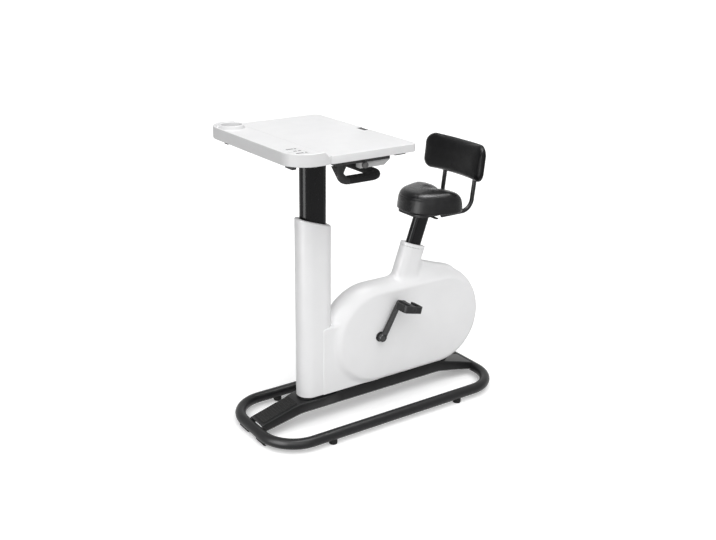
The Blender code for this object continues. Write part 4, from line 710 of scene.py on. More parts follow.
LEATHER = dict(colour="leather", cloud=dict(spread=0.22, scale=35, worn=0.04),
               grain=dict(scale=520, height=0.00022, detail=3.0, cells=True))
FINISHES = {
    "white_cover": dict(name="white_shell", roughness=0.42, specular=0.19, colour="shell",
                        cloud=dict(spread=0.012, scale=9), gloss=(0.38, 0.46, 25),
                        grain=dict(scale=1400, height=0.00003)),
    # The steep sides of the board and the tray are darkened as painted shade.
    "white_board": dict(name="white_board", roughness=0.48, specular=0.16, colour="board",
                        cloud=dict(spread=0.012, scale=14), band=0.80, gloss=(0.44, 0.54, 40),
                        grain=dict(scale=2200, height=0.00006, detail=4.0)),
    "black_steel": dict(name="powder_coat", roughness=0.38, specular=0.24, colour="powder",
                        cloud=dict(spread=0.12, scale=30, worn=0.08), gloss=(0.33, 0.43, 60),
                        grain=dict(scale=1600, height=0.00010)),
    # The hem's light grey is a painted highlight along the beam's lower edge.
    "hem_paint": dict(name="hem_paint", roughness=0.38, specular=0.3, colour="hem",
                      cloud=dict(spread=0.15, scale=40)),
    "gloss_black": dict(name="gloss_black", roughness=0.24, specular=0.12, colour="gloss",
                        cloud=dict(spread=0.10, scale=20), gloss=(0.20, 0.28, 35),
                        grain=dict(scale=900, height=0.00002)),
    "black_plastic": dict(name="moulded_black", roughness=0.5, specular=0.24, colour="plastic",
                          cloud=dict(spread=0.15, scale=40, worn=0.06), gloss=(0.44, 0.58, 90),
                          grain=dict(scale=1800, height=0.00012)),
    "foam_grip": dict(name="foam_grip", roughness=0.88, specular=0.14, Sheen_Weight=0.02,
                      Sheen_Roughness=0.5, colour="foam", cloud=dict(spread=0.25, scale=300),
                      grain=dict(scale=2600, height=0.00025, cells=True)),
    "rubber": dict(name="rubber", roughness=0.75, specular=0.18, colour="rubber",
                   cloud=dict(spread=0.2, scale=120, worn=0.05),
                   grain=dict(scale=1500, height=0.00015)),
    "bare_steel": dict(name="bare_steel", roughness=0.30, metallic=1.0, colour="steel",
                       cloud=dict(spread=0.08, scale=60, stretch=(1, 12, 1)),
                       gloss=(0.24, 0.38, 150),
                       grain=dict(scale=900, height=0.00004, stretch=(1, 10, 1))),
    "cast_iron": dict(name="cast_iron", roughness=0.58, metallic=0.8, colour="iron",
                      cloud=dict(spread=0.25, scale=80, worn=0.25),
                      grain=dict(scale=700, height=0.0003, detail=5.0)),
    "grey_plastic": dict(name="grey_plastic", roughness=0.5, specular=0.4, colour="grey",
                         cloud=dict(spread=0.03, scale=50),
                         grain=dict(scale=1700, height=0.00008)),
    "black_leather": dict(name="leatherette", roughness=0.21, specular=0.17,
                          gloss=(0.18, 0.24, 70), **LEATHER),
    # The backrest's leatherette is the saddle's, made darker as painted shade for its less lit
    # face.
    "shaded_back_leather": dict(name="leatherette_back", roughness=0.22, specular=0.08, shade=0.8,
                         gloss=(0.18, 0.26, 70), **LEATHER),
    "crank_paint": dict(name="crank_paint", roughness=0.28, specular=0.45, colour="crank",
                        cloud=dict(spread=0.10, scale=40, worn=0.12), gloss=(0.24, 0.34, 80),
                        grain=dict(scale=1300, height=0.00004)),
    "knob_grey": dict(name="knob_grey", roughness=0.5, specular=0.3, colour="knob",
                      cloud=dict(spread=0.10, scale=60, worn=0.10),
                      grain=dict(scale=1800, height=0.00010)),
    "print": dict(name="printed_dark", roughness=0.6, specular=0.2, colour="mark",
                  cloud=dict(spread=0.15, scale=900)),
}
MADE_FINISHES = {}


def finish_named(name):
    if name not in MADE_FINISHES:
        MADE_FINISHES[name] = made_finish(**FINISHES[name])
    return MADE_FINISHES[name]


def mirrored(profile, sign):
    """A profile along Y, turned over for the left side."""
    return [(radius, sign * along) for radius, along in profile]


def inner_face(low, high, sign):
    """Middle of the side of a box that faces the bike's middle."""
    return ((low.x + high.x) / 2, low.y if sign > 0 else high.y, (low.z + high.z) / 2)


def show(item, body, slot, *nodes, finish=None, angle=35):
    """Give a piece its finish, its body and the nodes that it stands for."""
    smooth(item, angle)
    item.data.materials.clear()
    item.data.materials.append(finish_named(finish or slot))
    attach(item, body)
    if nodes:
        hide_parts(*nodes)
    return item


# Base

def ring_middle(sizes):
    """Middle line of the base ring's tube, and the tube's radius."""
    low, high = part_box("base_ring")
    radius = (high.z - low.z) / 2
    outline = rounded((low.x + radius, low.y + radius), (high.x - radius, high.y - radius),
                      sizes.ring_corner, 24)
    return [(x, y, (low.z + high.z) / 2) for x, y in outline], radius


def build_ring(sizes):
    path, radius = ring_middle(sizes)
    tube = sweep("ring_tube", path, radius, 48, closed=True)
    room = 0.001
    for side, _ in SIDES:
        low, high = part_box("roller_" + side)
        middle = (low + high) / 2
        half = (high.y - low.y) / 2 + room
        wheel = (high.z - low.z) / 2 + room
        tube = carved(tube, turned("notch", [(wheel, -half), (wheel, half)], middle))
    show(tube, "base", "black_steel", "base_ring")


def build_feet(sizes):
    edge = sizes.foot_edge
    for name in ("foot_front_left", "foot_front_right", "foot_rear_left", "foot_rear_right"):
        low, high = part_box(name)
        radius, top = (high.x - low.x) / 2, high.z
        profile = [(radius - edge * 1.6, 0), (radius - edge * 0.7, edge * 0.2),
                   (radius - edge * 0.2, edge * 0.7), (radius, edge * 1.6),
                   (radius, top * 0.45), (radius - 0.0006, top * 0.48),
                   (radius - 0.0006, top * 0.52), (radius, top * 0.55),
                   (radius, top - edge * 1.4), (radius - edge * 0.5, top - edge * 0.3),
                   (radius - edge * 1.2, top)]
        centre = ((low.x + high.x) / 2, (low.y + high.y) / 2, 0)
        show(turned(name.replace("foot", "rubber_foot"), profile, centre, "Z"), "base",
             "rubber", name)


def build_rollers():
    for side, _ in SIDES:
        node = "roller_" + side
        low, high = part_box(node)
        radius, half = (high.z - low.z) / 2, (high.y - low.y) / 2
        half_profile = [(0.0042, half), (radius - 0.0015, half), (radius - 0.0004, half - 0.0008),
                        (radius, half - 0.0022), (radius, 0.004), (radius - 0.0006, 0.0034)]
        profile = half_profile + [(r, -y) for r, y in reversed(half_profile)]
        show(turned("transport_" + node, profile, (low + high) / 2, ring=True), node,
             "rubber", node)


def eased(value, corners, reach):
    """Height on a bent line whose corners are rounded off within reach."""
    places, heights = zip(*corners)
    return float(np.interp(value + np.linspace(-reach, reach, 21), places, heights).mean())


def ring_level():
    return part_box("base_ring")[0].z + RING_RADIUS


def beam_line(sizes, rise, level):
    """Bent line of a beam's edge: level in the middle, with a ramp at each end."""
    ramp = sizes.beam_end - sizes.beam_flat
    beyond = 0.05
    end = rise + (rise - level) / ramp * beyond
    return [(-sizes.beam_end - beyond, end), (-sizes.beam_flat, level),
            (sizes.beam_flat, level), (sizes.beam_end + beyond, end)]


def beam_top(sizes, x):
    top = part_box("spine_beam")[1].z
    return eased(x, beam_line(sizes, ring_level() + sizes.beam_rise, top), sizes.beam_ease)


def beam_section(sizes, x, inset):
    """Open section of the beam: wider at the column's foot, splayed at its rear end."""
    narrow, wide = sizes.beam_half_width, sizes.flange
    plan = [(-0.7, narrow), (-0.401, narrow), (-0.346, wide - 0.003), (-0.313, wide),
            (-0.259, wide), (-0.231, wide - 0.004), (-0.191, narrow), (0.480, narrow),
            (0.620, narrow + 0.0118)]
    ease, ease_below = 0.020, 0.014
    half = eased(x, plan, ease) - inset
    foot = eased(x, [plan[0], (0.480, narrow), plan[-1]], ease) - inset
    top = beam_top(sizes, x) - inset
    low = eased(x, beam_line(sizes, ring_level() - sizes.beam_wrap, sizes.beam_bottom),
                ease_below)
    edge = sizes.beam_edge - inset
    side = [(foot, low)] + arc((half - edge, top - edge), edge, 0, 90, 6)
    return [(x, y, z) for y, z in side] + [(x, -y, z) for y, z in reversed(side)]


def build_beam(sizes):
    stations = np.linspace(-sizes.beam_end, sizes.beam_end, 130)
    outer = [beam_section(sizes, x, 0) for x in stations]
    inner = [beam_section(sizes, x, sizes.beam_wall) for x in stations]
    beam = open_shell("spine_beam_shell", outer, inner)
    hem = 0.0016
    hems = []
    for index in (0, -1):
        line = [Vector(row[index]) + Vector((0, 0, hem)) for row in outer[1:-1]]
        hems.append(sweep("hem", line, hem, 10))
    path, radius = ring_middle(sizes)
    beam = carved(beam, sweep("ring_cut", path, radius + GAP, 48, closed=True))
    show(beam, "base", "black_steel", "spine_beam")
    # The hem bead carries a painted highlight along the beam's lower edge.
    show(joined("beam_hem", *hems), "base", "black_steel", finish="hem_paint")


def build_tread(sizes):
    low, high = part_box("tread_mat")
    middle = (low.x + high.x) / 2
    slope = (beam_top(sizes, high.x) - beam_top(sizes, low.x)) / (high.x - low.x)
    angle = np.arctan(slope)
    half = (high.x - low.x) / cos(angle) / 2
    width = high.y
    thickness, corner, edge = 0.002, 0.006, 0.0007
    rib, margin = 0.0024, 0.004
    mat = slab("mat", [rounded((-half, -width), (half, width), corner)], 0, thickness, edge)
    ribs = []
    for step in range(sizes.ribs):
        x = -half + (2 * half) * (step + 0.5) / sizes.ribs
        path, radii = domed([(x, -width + margin, 0), (x, width - margin, 0)], rib, rib)
        ribs.append(sweep("rib", path, radii, 14))
        ribs[-1].data.transform(Matrix.Translation((0, 0, thickness + sizes.rib_height - rib)))
    tread = joined("tread", mat, *ribs)
    tread.data.transform(Matrix.Translation((middle, 0, beam_top(sizes, middle) + GAP * 1.2))
                         @ Matrix.Rotation(-angle, 4, "Y"))
    show(tread, "base", "rubber", "tread_mat")


class BuildBase(bpy.types.Operator):
    """Build the base ring, feet, rollers, beam and tread"""
    bl_idname = "desk_bike.base"
    bl_label = "Base"

    def execute(self, context):
        sizes = context.scene.bike_base
        build_ring(sizes)
        build_feet(sizes)
        build_rollers()
        build_beam(sizes)
        build_tread(sizes)
        return {"FINISHED"}


# Column

def obround_rows(name, rows, x=0.0, slope=0.0):
    """Skin through obround rings of (half length, half width, height, share of the slant)."""
    rings = []
    for half_length, half_width, z, slant in rows:
        rings.append([(x + across, along, z + slope * slant * across)
                      for across, along in obround(half_length, half_width)])
    return skin(name, rings, closed=True)


def build_cover(sizes):
    """Cover with round edges; its top slants, and its sides are straight below that."""
    low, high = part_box("column_cover")
    half_length, half_width = (high.x - low.x) / 2, high.y
    straight, ledge = 0.80, 0.009
    opening = (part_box("column_inner")[1].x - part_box("column_inner")[0].x) / 2 + sizes.room
    inset = half_length - opening
    top, edge = sizes.cover_top, sizes.cover_edge
    foot = low.z + sizes.foot_gap
    line = [(0.0008, foot, 0), (0, foot + 0.001, 0), (0, straight, 0), (0, top - edge, 1)]
    for step in range(1, 7):
        angle = pi / 2 * step / 6
        line.append((edge * (1 - cos(angle)), top - edge + edge * sin(angle), 1))
    line += [(inset - 0.0014, top, 1), (inset - 0.0004, top - 0.0004, 1),
             (inset, top - 0.0014, 1), (inset, top - sizes.wall, 1),
             (ledge, top - sizes.wall, 1), (sizes.wall, top - 0.010, 1),
             (sizes.wall, straight, 0), (sizes.wall, foot, 0)]
    rows = [(half_length - d, half_width - d, z, slant) for d, z, slant in line]
    show(obround_rows("column_shell", rows, COLUMN_X, -sizes.cover_slope), "base",
         "white_cover", "column_cover")


def build_desk_post():
    low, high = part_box("column_inner")
    half_length, half_width, wall = (high.x - low.x) / 2, high.y, 0.0025
    rows = [(half_length, half_width, low.z, 0), (half_length, half_width, high.z, 0),
            (half_length - wall, half_width - wall, high.z, 0),
            (half_length - wall, half_width - wall, low.z, 0)]
    show(obround_rows("desk_post", rows, COLUMN_X), "desk_carrier", "black_steel",
         "column_inner", finish="gloss_black")


class BuildColumn(bpy.types.Operator):
    """Build the column's cover and the post that slides in it"""
    bl_idname = "desk_bike.column"
    bl_label = "Column"

    def execute(self, context):
        build_cover(context.scene.bike_column)
        build_desk_post()
        return {"FINISHED"}


# Desk

def box_distance(across, along, half_across, half_along, corner):
    """Signed distance to a rectangle with round corners."""
    x = np.abs(across) - half_across + corner
    y = np.abs(along) - half_along + corner
    return (np.minimum(np.maximum(x, y), 0) + np.hypot(np.maximum(x, 0), np.maximum(y, 0))
            - corner)


def tray_field(sizes):
    """Tray with a lip around its front, a cup recess and a hollow underside."""
    low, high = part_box("front_tray")
    rear = high.x
    top = sizes.board_top
    lip_top = high.z
    side_wall, floor_wall, cup_wall = 0.014, 0.005, 0.006
    cup_foot, cup_edge, hollow_edge = 0.003, 0.009, 0.002
    past_rear = 0.005

    def plan(x, y):
        taper = sizes.end_taper * smooth_step(x, sizes.lip_full, rear)
        return box_distance(x - (low.x + 0.5), np.abs(y) + taper, 0.5, high.y,
                            sizes.front_corner)

    def from_cup(x, y):
        return np.hypot(x - sizes.cup_x, y - sizes.cup_y) - sizes.cup_radius

    def height(x, y):
        lip = 1 - smooth_step(-plan(x, y), sizes.lip_flat, sizes.lip_foot)
        lip = lip * (1 - smooth_step(x, sizes.lip_full, sizes.lip_end))
        pod = 1 - smooth_step(from_cup(x, y), sizes.pod_width * 0.35, sizes.pod_width * 1.25)
        return top + (lip_top - top) * np.maximum(lip, pod)

    def field(x, y, z):
        outline = plan(x, y)
        body = smooth_max(np.maximum(outline, low.z - z), z - height(x, y), sizes.board_edge)
        body = smooth_max(outline, body, sizes.board_edge * 1.2)
        away = from_cup(x, y)
        cup = smooth_max(away, lip_top - sizes.cup_depth - z, cup_foot)
        body = smooth_max(body, -cup, cup_edge)
        hollow = np.maximum(np.maximum(outline, x - rear) + side_wall, z - (top - floor_wall))
        hollow = np.maximum(hollow, cup_wall - away)
        return np.maximum(smooth_max(body, -hollow, hollow_edge), x - rear - past_rear)

    return field


def desk_cutter(start, end):
    """Block across the whole desk between two places along the bike."""
    return rounded_block("cutter", (start, -0.5, 1.0), (end, 0.5, 1.4), 0.0001, 1)


def build_tray(sizes):
    low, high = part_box("front_tray")
    beyond = Vector((0.006, 0, 0))
    cell = 0.0026
    tray = field_surface("tray", tray_field(sizes), low, high + beyond, cell)
    rear = desk_cutter(high.x, high.x + 0.1)
    low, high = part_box("display_panel")
    room = 0.0003
    pocket = prism("pocket", [[(low.x - room, low.y - room), (high.x + room, low.y - room),
                               (high.x + room, high.y + room), (low.x - room, high.y + room)]],
                   low.z - room, high.z + 0.01)
    tray = carved(tray, joined("cuts", rear, pocket))
    show(tray, "desk_carrier", "white_board", "front_tray", angle=50)


def show_lever(name, node, edge):
    """A plain lever on its own body, with rounded edges."""
    low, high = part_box(node)
    show(rounded_block(name, low, high, edge, 4), node, "black_plastic", node)


def build_board(sizes):
    low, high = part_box("desktop")
    paddle_low, paddle_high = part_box("height_paddle")
    corner, overlap, taper = sizes.rear_corner, 0.010, 0.006
    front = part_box("front_tray")[1].x + sizes.seam
    notch = (paddle_low.x - 0.0015, paddle_low.y - 0.0005, paddle_high.y + 0.0005)
    outline = arc((high.x - corner, low.y + corner), corner, -90, 0, 16)
    outline += [(high.x, notch[1]), (notch[0], notch[1]), (notch[0], notch[2]),
                (high.x, notch[2])]
    outline += arc((high.x - corner, high.y - corner), corner, 0, 90, 16)
    outline += [(front + taper, high.y), (front - overlap, high.y - taper),
                (front - overlap, low.y + taper), (front + taper, low.y)]
    board = slab("work_surface", [outline], low.z, high.z, sizes.board_edge, 4)
    board = carved(board, desk_cutter(front - 0.1, front))
    show(board, "desktop_board", "white_board", "desktop")
    show_lever("lift_paddle", "height_paddle", 0.0022)
    show_lever("release_lever", "slide_lever", 0.0016)


def key_marks(name, low, high):
    """Dark bar and arrow, or two bars, printed along a key."""
    y, top = (low.y + high.y) / 2, high.z
    bar_half, arrow_half, corner, thickness = 0.0038, 0.0075, 0.0018, 0.00012
    marks = []
    length = high.x - low.x
    if name == "button_mode":
        spans = ((0.30, 0.52), (0.60, 0.82))
    else:
        spans = ((0.12, 0.62),)
        tip, base = (0.86, 0.70) if name == "button_up" else (0.70, 0.86)
        arrow = [(low.x + length * tip, y), (low.x + length * base, y + arrow_half),
                 (low.x + length * base, y - arrow_half)]
        marks.append(prism("arrow", [arrow], top, top + thickness))
    for start, end in spans:
        bar = rounded((low.x + length * start, y - bar_half),
                      (low.x + length * end, y + bar_half), corner, 4)
        marks.append(prism("bar", [bar], top, top + thickness))
    return joined(name.replace("button", "marks"), *marks)


def build_panel():
    low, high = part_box("display_panel")
    outlines = [rounded((low.x, low.y), (high.x, high.y), 0.0025, 5)]
    room = 0.0005
    for name in ("button_down", "button_mode", "button_up"):
        key_low, key_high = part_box(name)
        outlines.append(rounded((key_low.x - room, key_low.y - room),
                                (key_high.x + room, key_high.y + room), 0.004, 6))
        key = rounded((key_low.x, key_low.y), (key_high.x, key_high.y), 0.0035, 6)
        show(slab(name.replace("button", "key"), [key], key_low.z, key_high.z, 0.0007), name,
             "black_plastic", name, finish="white_board")
        show(key_marks(name, key_low, key_high), name, "black_plastic", finish="print")
    show(slab("key_panel", outlines, low.z, high.z, 0.0003, 2), "desk_carrier",
         "white_cover", "display_panel", finish="white_board")


class BuildDesk(bpy.types.Operator):
    """Build the tray, the work surface, its levers and the key panel"""
    bl_idname = "desk_bike.desk"
    bl_label = "Desk"

    def execute(self, context):
        build_tray(context.scene.bike_desk)
        build_board(context.scene.bike_desk)
        build_panel()
        return {"FINISHED"}


# Under the desk

def build_desk_frame():
    """Head plate, two cross bars, two arms and their lugs, with rounded folds."""
    low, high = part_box("desk_frame")
    bar_half, arm_half, fold = 0.015, 0.014, 0.0016
    blocks = [((-0.381, -0.050, low.z), (-0.191, 0.050, 1.1959))]
    for x in (-0.345, -0.215):
        blocks.append(((x - bar_half, -high.y, 1.1954), (x + bar_half, high.y, 1.2212)))
    for y, lug_reach in ((0.206, 0), (-0.268, 0.022)):
        near, far = y - arm_half, y + arm_half
        blocks.append(((-0.562, near, 1.2202), (-0.215, far, high.z)))
        blocks.append(((low.x, near - lug_reach, 1.2132), (-0.544, far, 1.2252)))
    parts = [rounded_block("bar", start, end, fold) for start, end in blocks]
    head = [(0.0062, low.z), (0.0062, low.z - 0.0022), (0.0052, low.z - 0.0032)]
    for x in (-0.360, -0.212):
        for y in (-0.036, 0.036):
            parts.append(turned("bolt", head, (x, y, 0), "Z", 6))
    show(joined("desk_frame_parts", *parts), "desk_carrier", "black_steel", "desk_frame")


def fluted_knob(name, centre, side, radius, depth, flutes):
    """Knob with waves around it; each row is its share of depth, radius and wave."""
    steps, wave_depth = flutes * 8, 0.045
    rows = []
    for share, scale, wave in ((0, 0.90, 0), (0.06, 0.97, 0.4), (0.14, 1, 1), (0.72, 1, 1),
                               (0.86, 0.96, 0.7), (0.95, 0.86, 0.2), (0.99, 0.72, 0),
                               (1.0, 0.55, 0), (0.97, 0.48, 0), (0.965, 0.1, 0)):
        row = []
        for step in range(steps):
            angle = 2 * pi * step / steps
            reach = radius * scale * (1 - wave_depth * wave * (1 - cos(angle * flutes)))
            row.append((centre[0] + reach * cos(angle), centre[1] + side * depth * share,
                        centre[2] + reach * sin(angle)))
        rows.append(row)
    return skin(name, rows)


def build_brackets(sizes):
    for side, sign in SIDES:
        low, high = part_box("side_bracket_" + side)
        wedge = [(low.x, low.z), (high.x - 0.026, low.z), (high.x, high.z - 0.002),
                 (high.x, high.z), (low.x, high.z)]
        bracket = slab("wedge_bracket_" + side, [wedge], low.y, high.y, 0.0016, 3, "XZ")
        show(bracket, "desk_carrier", "grey_plastic", "side_bracket_" + side)
        low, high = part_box("rail_knob_" + side)
        knob = fluted_knob("clamp_knob_" + side, inner_face(low, high, sign), sign,
                           (high.x - low.x) / 2, high.y - low.y, sizes.knob_flutes)
        show(knob, "rail_knob_" + side, "black_plastic", "rail_knob_" + side,
             finish="knob_grey")


def bent_end(name, start, y, z, bend, top, radius, flat):
    """End of the handlebar: it bends up and thins into the plate that carries it."""
    stations, steps = [], 14
    for step in range(steps + 1):
        angle = pi / 2 * step / steps
        share = step / steps
        stations.append((start - bend * sin(angle), z + bend * (1 - cos(angle)),
                         (-sin(angle), -cos(angle)), radius + (flat - radius) * share ** 2))
    stations.append((start - bend, top, (-1, 0), flat))
    stations.insert(0, (start + 0.004, z, (0, -1), radius))
    rows = []
    for x, up, (across, along), thin in stations:
        rows.append([(x + radius * cos(a) * across, y + thin * sin(a),
                      up + radius * cos(a) * along)
                     for a in np.linspace(0, 2 * pi, 32, endpoint=False)])
    return skin(name, rows)


def build_handlebar(sizes):
    low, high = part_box("handlebar")
    radius, corner, z = sizes.grip_radius, sizes.grip_corner, sizes.grip_z
    rear = high.x - radius
    reach = high.y - radius
    end = low.x + 0.062
    front = end - 0.002
    bend, flat, plate_half = 0.036, 0.007, 0.004
    path = [(front, -reach)] + arc((rear - corner, corner - reach), corner, -90, 0, 20)
    path += arc((rear - corner, reach - corner), corner, 0, 90, 20) + [(front, reach)]
    line, radii = domed([(x, y, z) for x, y in path], radius, 0.004)
    grip = sweep("handlebar_grip", line, radii, 32)
    struts = []
    for _, sign in SIDES:
        y = sign * reach
        tube = bent_end("bend", end, y, z, bend, high.z, radius - 0.0007, flat)
        outline = [(low.x + 0.012, z + 0.020), (low.x + 0.040, z + 0.024),
                   (low.x + 0.059, high.z), (low.x - 0.010, high.z)]
        plate = slab("plate", [outline], y - plate_half, y + plate_half, 0.0016, 3, "XZ")
        struts += [tube, plate]
        face = y + sign * plate_half
        head = [(0.0050, face), (0.0050, face + sign * 0.0018),
                (0.0040, face + sign * 0.0030), (0.0016, face + sign * 0.0032)]
        for x in (low.x + 0.004, low.x + 0.047):
            struts.append(turned("bolt", head, (x, 0, high.z - 0.008), "Y", 24))
    show(grip, "desk_carrier", "black_plastic", "handlebar", finish="foam_grip")
    show(joined("handlebar_struts", *struts), "desk_carrier", "black_plastic", "handlebar")


class BuildUnderDesk(bpy.types.Operator):
    """Build the desk's frame, brackets, knobs and handlebar"""
    bl_idname = "desk_bike.under_desk"
    bl_label = "Under the Desk"

    def execute(self, context):
        build_desk_frame()
        build_brackets(context.scene.bike_desk)
        build_handlebar(context.scene.bike_desk)
        return {"FINISHED"}


# Housing

def post_frame(sizes):
    return (Matrix.Translation((sizes.post_x, 0, sizes.post_z))
            @ Matrix.Rotation(sizes.post_tilt, 4, "Y"))


def edge_distance(x, z, start, end):
    """Distance outside the line from start to end, whose inner side is on its left."""
    along = (end[0] - start[0], end[1] - start[1])
    size = (along[0] ** 2 + along[1] ** 2) ** 0.5
    return ((x - start[0]) * along[1] - (z - start[1]) * along[0]) / size


def housing_field(sizes):
    """Pill with a swelling rim, a plinth in front, a sleeve on top and a ridge behind it."""
    bow = (sizes.face_half ** 2 + sizes.crown ** 2) / (2 * sizes.crown)
    cosine, sine = cos(sizes.post_tilt), sin(sizes.post_tilt)
    crest, ridge_foot, sleeve_foot = sizes.ridge_front_z, 0.470, 0.30
    ridge = [(0.1985, ridge_foot), (0.420, ridge_foot), (sizes.ridge_rear_x, sizes.ridge_rear_z),
             (sizes.post_x + sizes.sleeve_length, crest), (sizes.post_x - 0.020, crest + 0.017)]
    face_edge, plinth_side, plinth_edge, ridge_edge = 0.005, 0.007, 0.012, 0.010
    to_plinth, to_ridge, to_sleeve = 0.010, 0.030, 0.020
    above_pill, below_foot = 0.60, 0.012

    def pill(x, y, z):
        across = np.minimum(np.abs(y), bow * 0.86)
        lift = np.sqrt(bow ** 2 - across ** 2)
        swell = lift - (bow - sizes.crown)
        front = sizes.face_front + (sizes.crown_front - sizes.face_front) * swell / sizes.crown
        away = np.hypot(x - np.clip(x, front, sizes.rear), z - sizes.crank_z)
        rim = (away - sizes.face_radius - swell) * lift / bow
        return smooth_max(rim, np.abs(y) - sizes.face_half, face_edge)

    def plinth(x, y, z):
        ends = np.maximum(sizes.plinth_front - x, x - sizes.face_front)
        side = smooth_max(ends, np.abs(y) - sizes.plinth_half, plinth_side)
        return smooth_max(side, z - sizes.plinth_top, plinth_edge)

    def up_post(x, z):
        return (x - sizes.post_x) * sine + (z - sizes.post_z) * cosine

    def sleeve(x, y, z):
        along = (x - sizes.post_x) * cosine - (z - sizes.post_z) * sine
        up = up_post(x, z)
        reach = sizes.sleeve_length - sizes.sleeve_width
        side = np.hypot(np.maximum(np.abs(along) - reach, 0), y) - sizes.sleeve_width
        return np.maximum(np.maximum(side, up + sizes.collar_height + GAP), -sleeve_foot - up)

    def web(x, y, z):
        shape = np.abs(y) - sizes.ridge_half
        for start, end in zip(ridge, ridge[1:] + ridge[:1]):
            shape = smooth_max(shape, edge_distance(x, z, start, end), ridge_edge)
        return shape

    def field(x, y, z):
        body = smooth_min(pill(x, y, z), plinth(x, y, z), to_plinth)
        body = smooth_min(body, web(x, y, z), to_ridge)
        body = smooth_min(body, sleeve(x, y, z), to_sleeve)
        under_collar = up_post(x, z) + sizes.collar_height + GAP
        body = np.maximum(body, np.where(z > above_pill, under_collar, -1.0))
        return np.maximum(body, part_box("housing_left")[0].z - below_foot - z)

    return field


def cleared(item, test):
    """Delete the faces whose middle passes the test."""
    def clear(form):
        doomed = [face for face in form.faces if test(face.calc_center_median(), face.normal)]
        bmesh.ops.delete(form, geom=doomed, context="FACES")

    return edited(item, clear)


def sliced(item, place, normal):
    """Keep the side of a plane that its normal points away from."""
    def cut(form):
        everything = form.verts[:] + form.edges[:] + form.faces[:]
        bmesh.ops.bisect_plane(form, geom=everything, plane_co=place, plane_no=normal,
                               clear_outer=True)

    return edited(item, cut)


def build_housing(sizes):
    left_low, left_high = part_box("housing_left")
    right_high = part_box("housing_right")[1]
    form = field_surface("housing", housing_field(sizes), left_low - Vector((0, 0, 0.012)),
                         (left_high.x, right_high.y, left_high.z + 0.004), sizes.cell)
    cover_low, cover_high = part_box("column_cover")
    half_length, half_width = (cover_high.x - cover_low.x) / 2 + GAP, cover_high.y + GAP
    column = prism("column_cut", [[(x + COLUMN_X, y) for x, y
                                   in obround(half_length, half_width)]], 0, 0.8)
    hole, near = 0.014, 0.0006
    axle = turned("axle_cut", [(hole, -0.2), (hole, 0.2)], (sizes.crank_x, 0, sizes.crank_z))
    form = carved(form, joined("openings", column, axle))
    reach = half_length - half_width
    frame_of_post = post_frame(sizes)
    to_post = frame_of_post.inverted()
    up_post = frame_of_post.to_3x3() @ Vector((0, 0, 1))

    def in_opening(middle, normal):
        across = max(abs(middle.x - COLUMN_X) - reach, 0)
        at_column = abs((across ** 2 + middle.y ** 2) ** 0.5 - half_width) < near
        from_axle = ((middle.x - sizes.crank_x) ** 2 + (middle.z - sizes.crank_z) ** 2) ** 0.5
        at_axle = abs(from_axle - hole) < near
        under_collar = (to_post @ middle).z > -sizes.collar_height - 0.0012
        return ((at_column and abs(normal.z) < 0.3) or (at_axle and abs(normal.y) < 0.5)
                or (under_collar and normal.dot(up_post) > 0.8))

    form = cleared(form, in_opening)
    form = sliced(form, (0, 0, left_low.z + sizes.foot_gap), (0, 0, -1))
    for side, sign in SIDES:
        half = new_object("shell_" + side, form.data.copy())
        half = sliced(half, (0, sign * GAP / 2, 0), (0, -sign, 0))
        wall = half.modifiers.new("wall", "SOLIDIFY")
        wall.thickness = sizes.wall
        wall.offset = -1
        show(settled(half), "base", "white_cover", "housing_" + side, angle=40)
    bpy.data.objects.remove(form, do_unlink=True)


def build_collar(sizes):
    length, width = sizes.sleeve_length + 0.0004, sizes.sleeve_width + 0.0004
    height, ledge = sizes.collar_height, 0.004
    post = (0.0395, 0.0215)
    rows = [(length, width, -height, 0), (length, width, -0.0030, 0),
            (length - 0.0006, width - 0.0006, -0.0012, 0),
            (length - 0.0016, width - 0.0016, -0.0003, 0), (length - 0.003, width - 0.003, 0, 0),
            (post[0] + 0.0014, post[1] + 0.0014, 0, 0),
            (post[0] + 0.0004, post[1] + 0.0004, -0.0004, 0), (*post, -0.0014, 0),
            (*post, -ledge, 0), (length - ledge, width - ledge, -ledge, 0),
            (length - ledge, width - ledge, -height, 0)]
    collar = obround_rows("post_collar", rows)
    collar.data.transform(post_frame(sizes))
    show(collar, "base", "white_cover", "seat_collar")


class BuildHousing(bpy.types.Operator):
    """Build the two halves of the drive housing and the post's collar"""
    bl_idname = "desk_bike.housing"
    bl_label = "Housing"

    def execute(self, context):
        build_housing(context.scene.bike_housing)
        build_collar(context.scene.bike_housing)
        return {"FINISHED"}


# Cranks and pedals

def crank_end(sizes, sign):
    """Pedal axis at one crank's end; the right crank points the other way."""
    angle = sizes.crank_angle + (pi if sign > 0 else 0)
    hub = bpy.context.scene.bike_housing
    return (hub.crank_x + sizes.crank_length * cos(angle),
            hub.crank_z + sizes.crank_length * sin(angle))


def build_trim_rings():
    for side, sign in SIDES:
        low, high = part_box("trim_ring_" + side)
        radius, depth = (high.x - low.x) / 2, high.y - low.y
        profile = [(0.0105, 0), (radius, 0), (radius, depth * 0.55),
                   (radius - 0.0006, depth * 0.82), (radius - 0.0020, depth * 0.96),
                   (radius - 0.0036, depth), (0.0120, depth), (0.0105, depth * 0.8)]
        ring = turned("bearing_trim_" + side, mirrored(profile, sign),
                      inner_face(low, high, sign), ring=True)
        show(ring, "base", "black_plastic", "trim_ring_" + side)


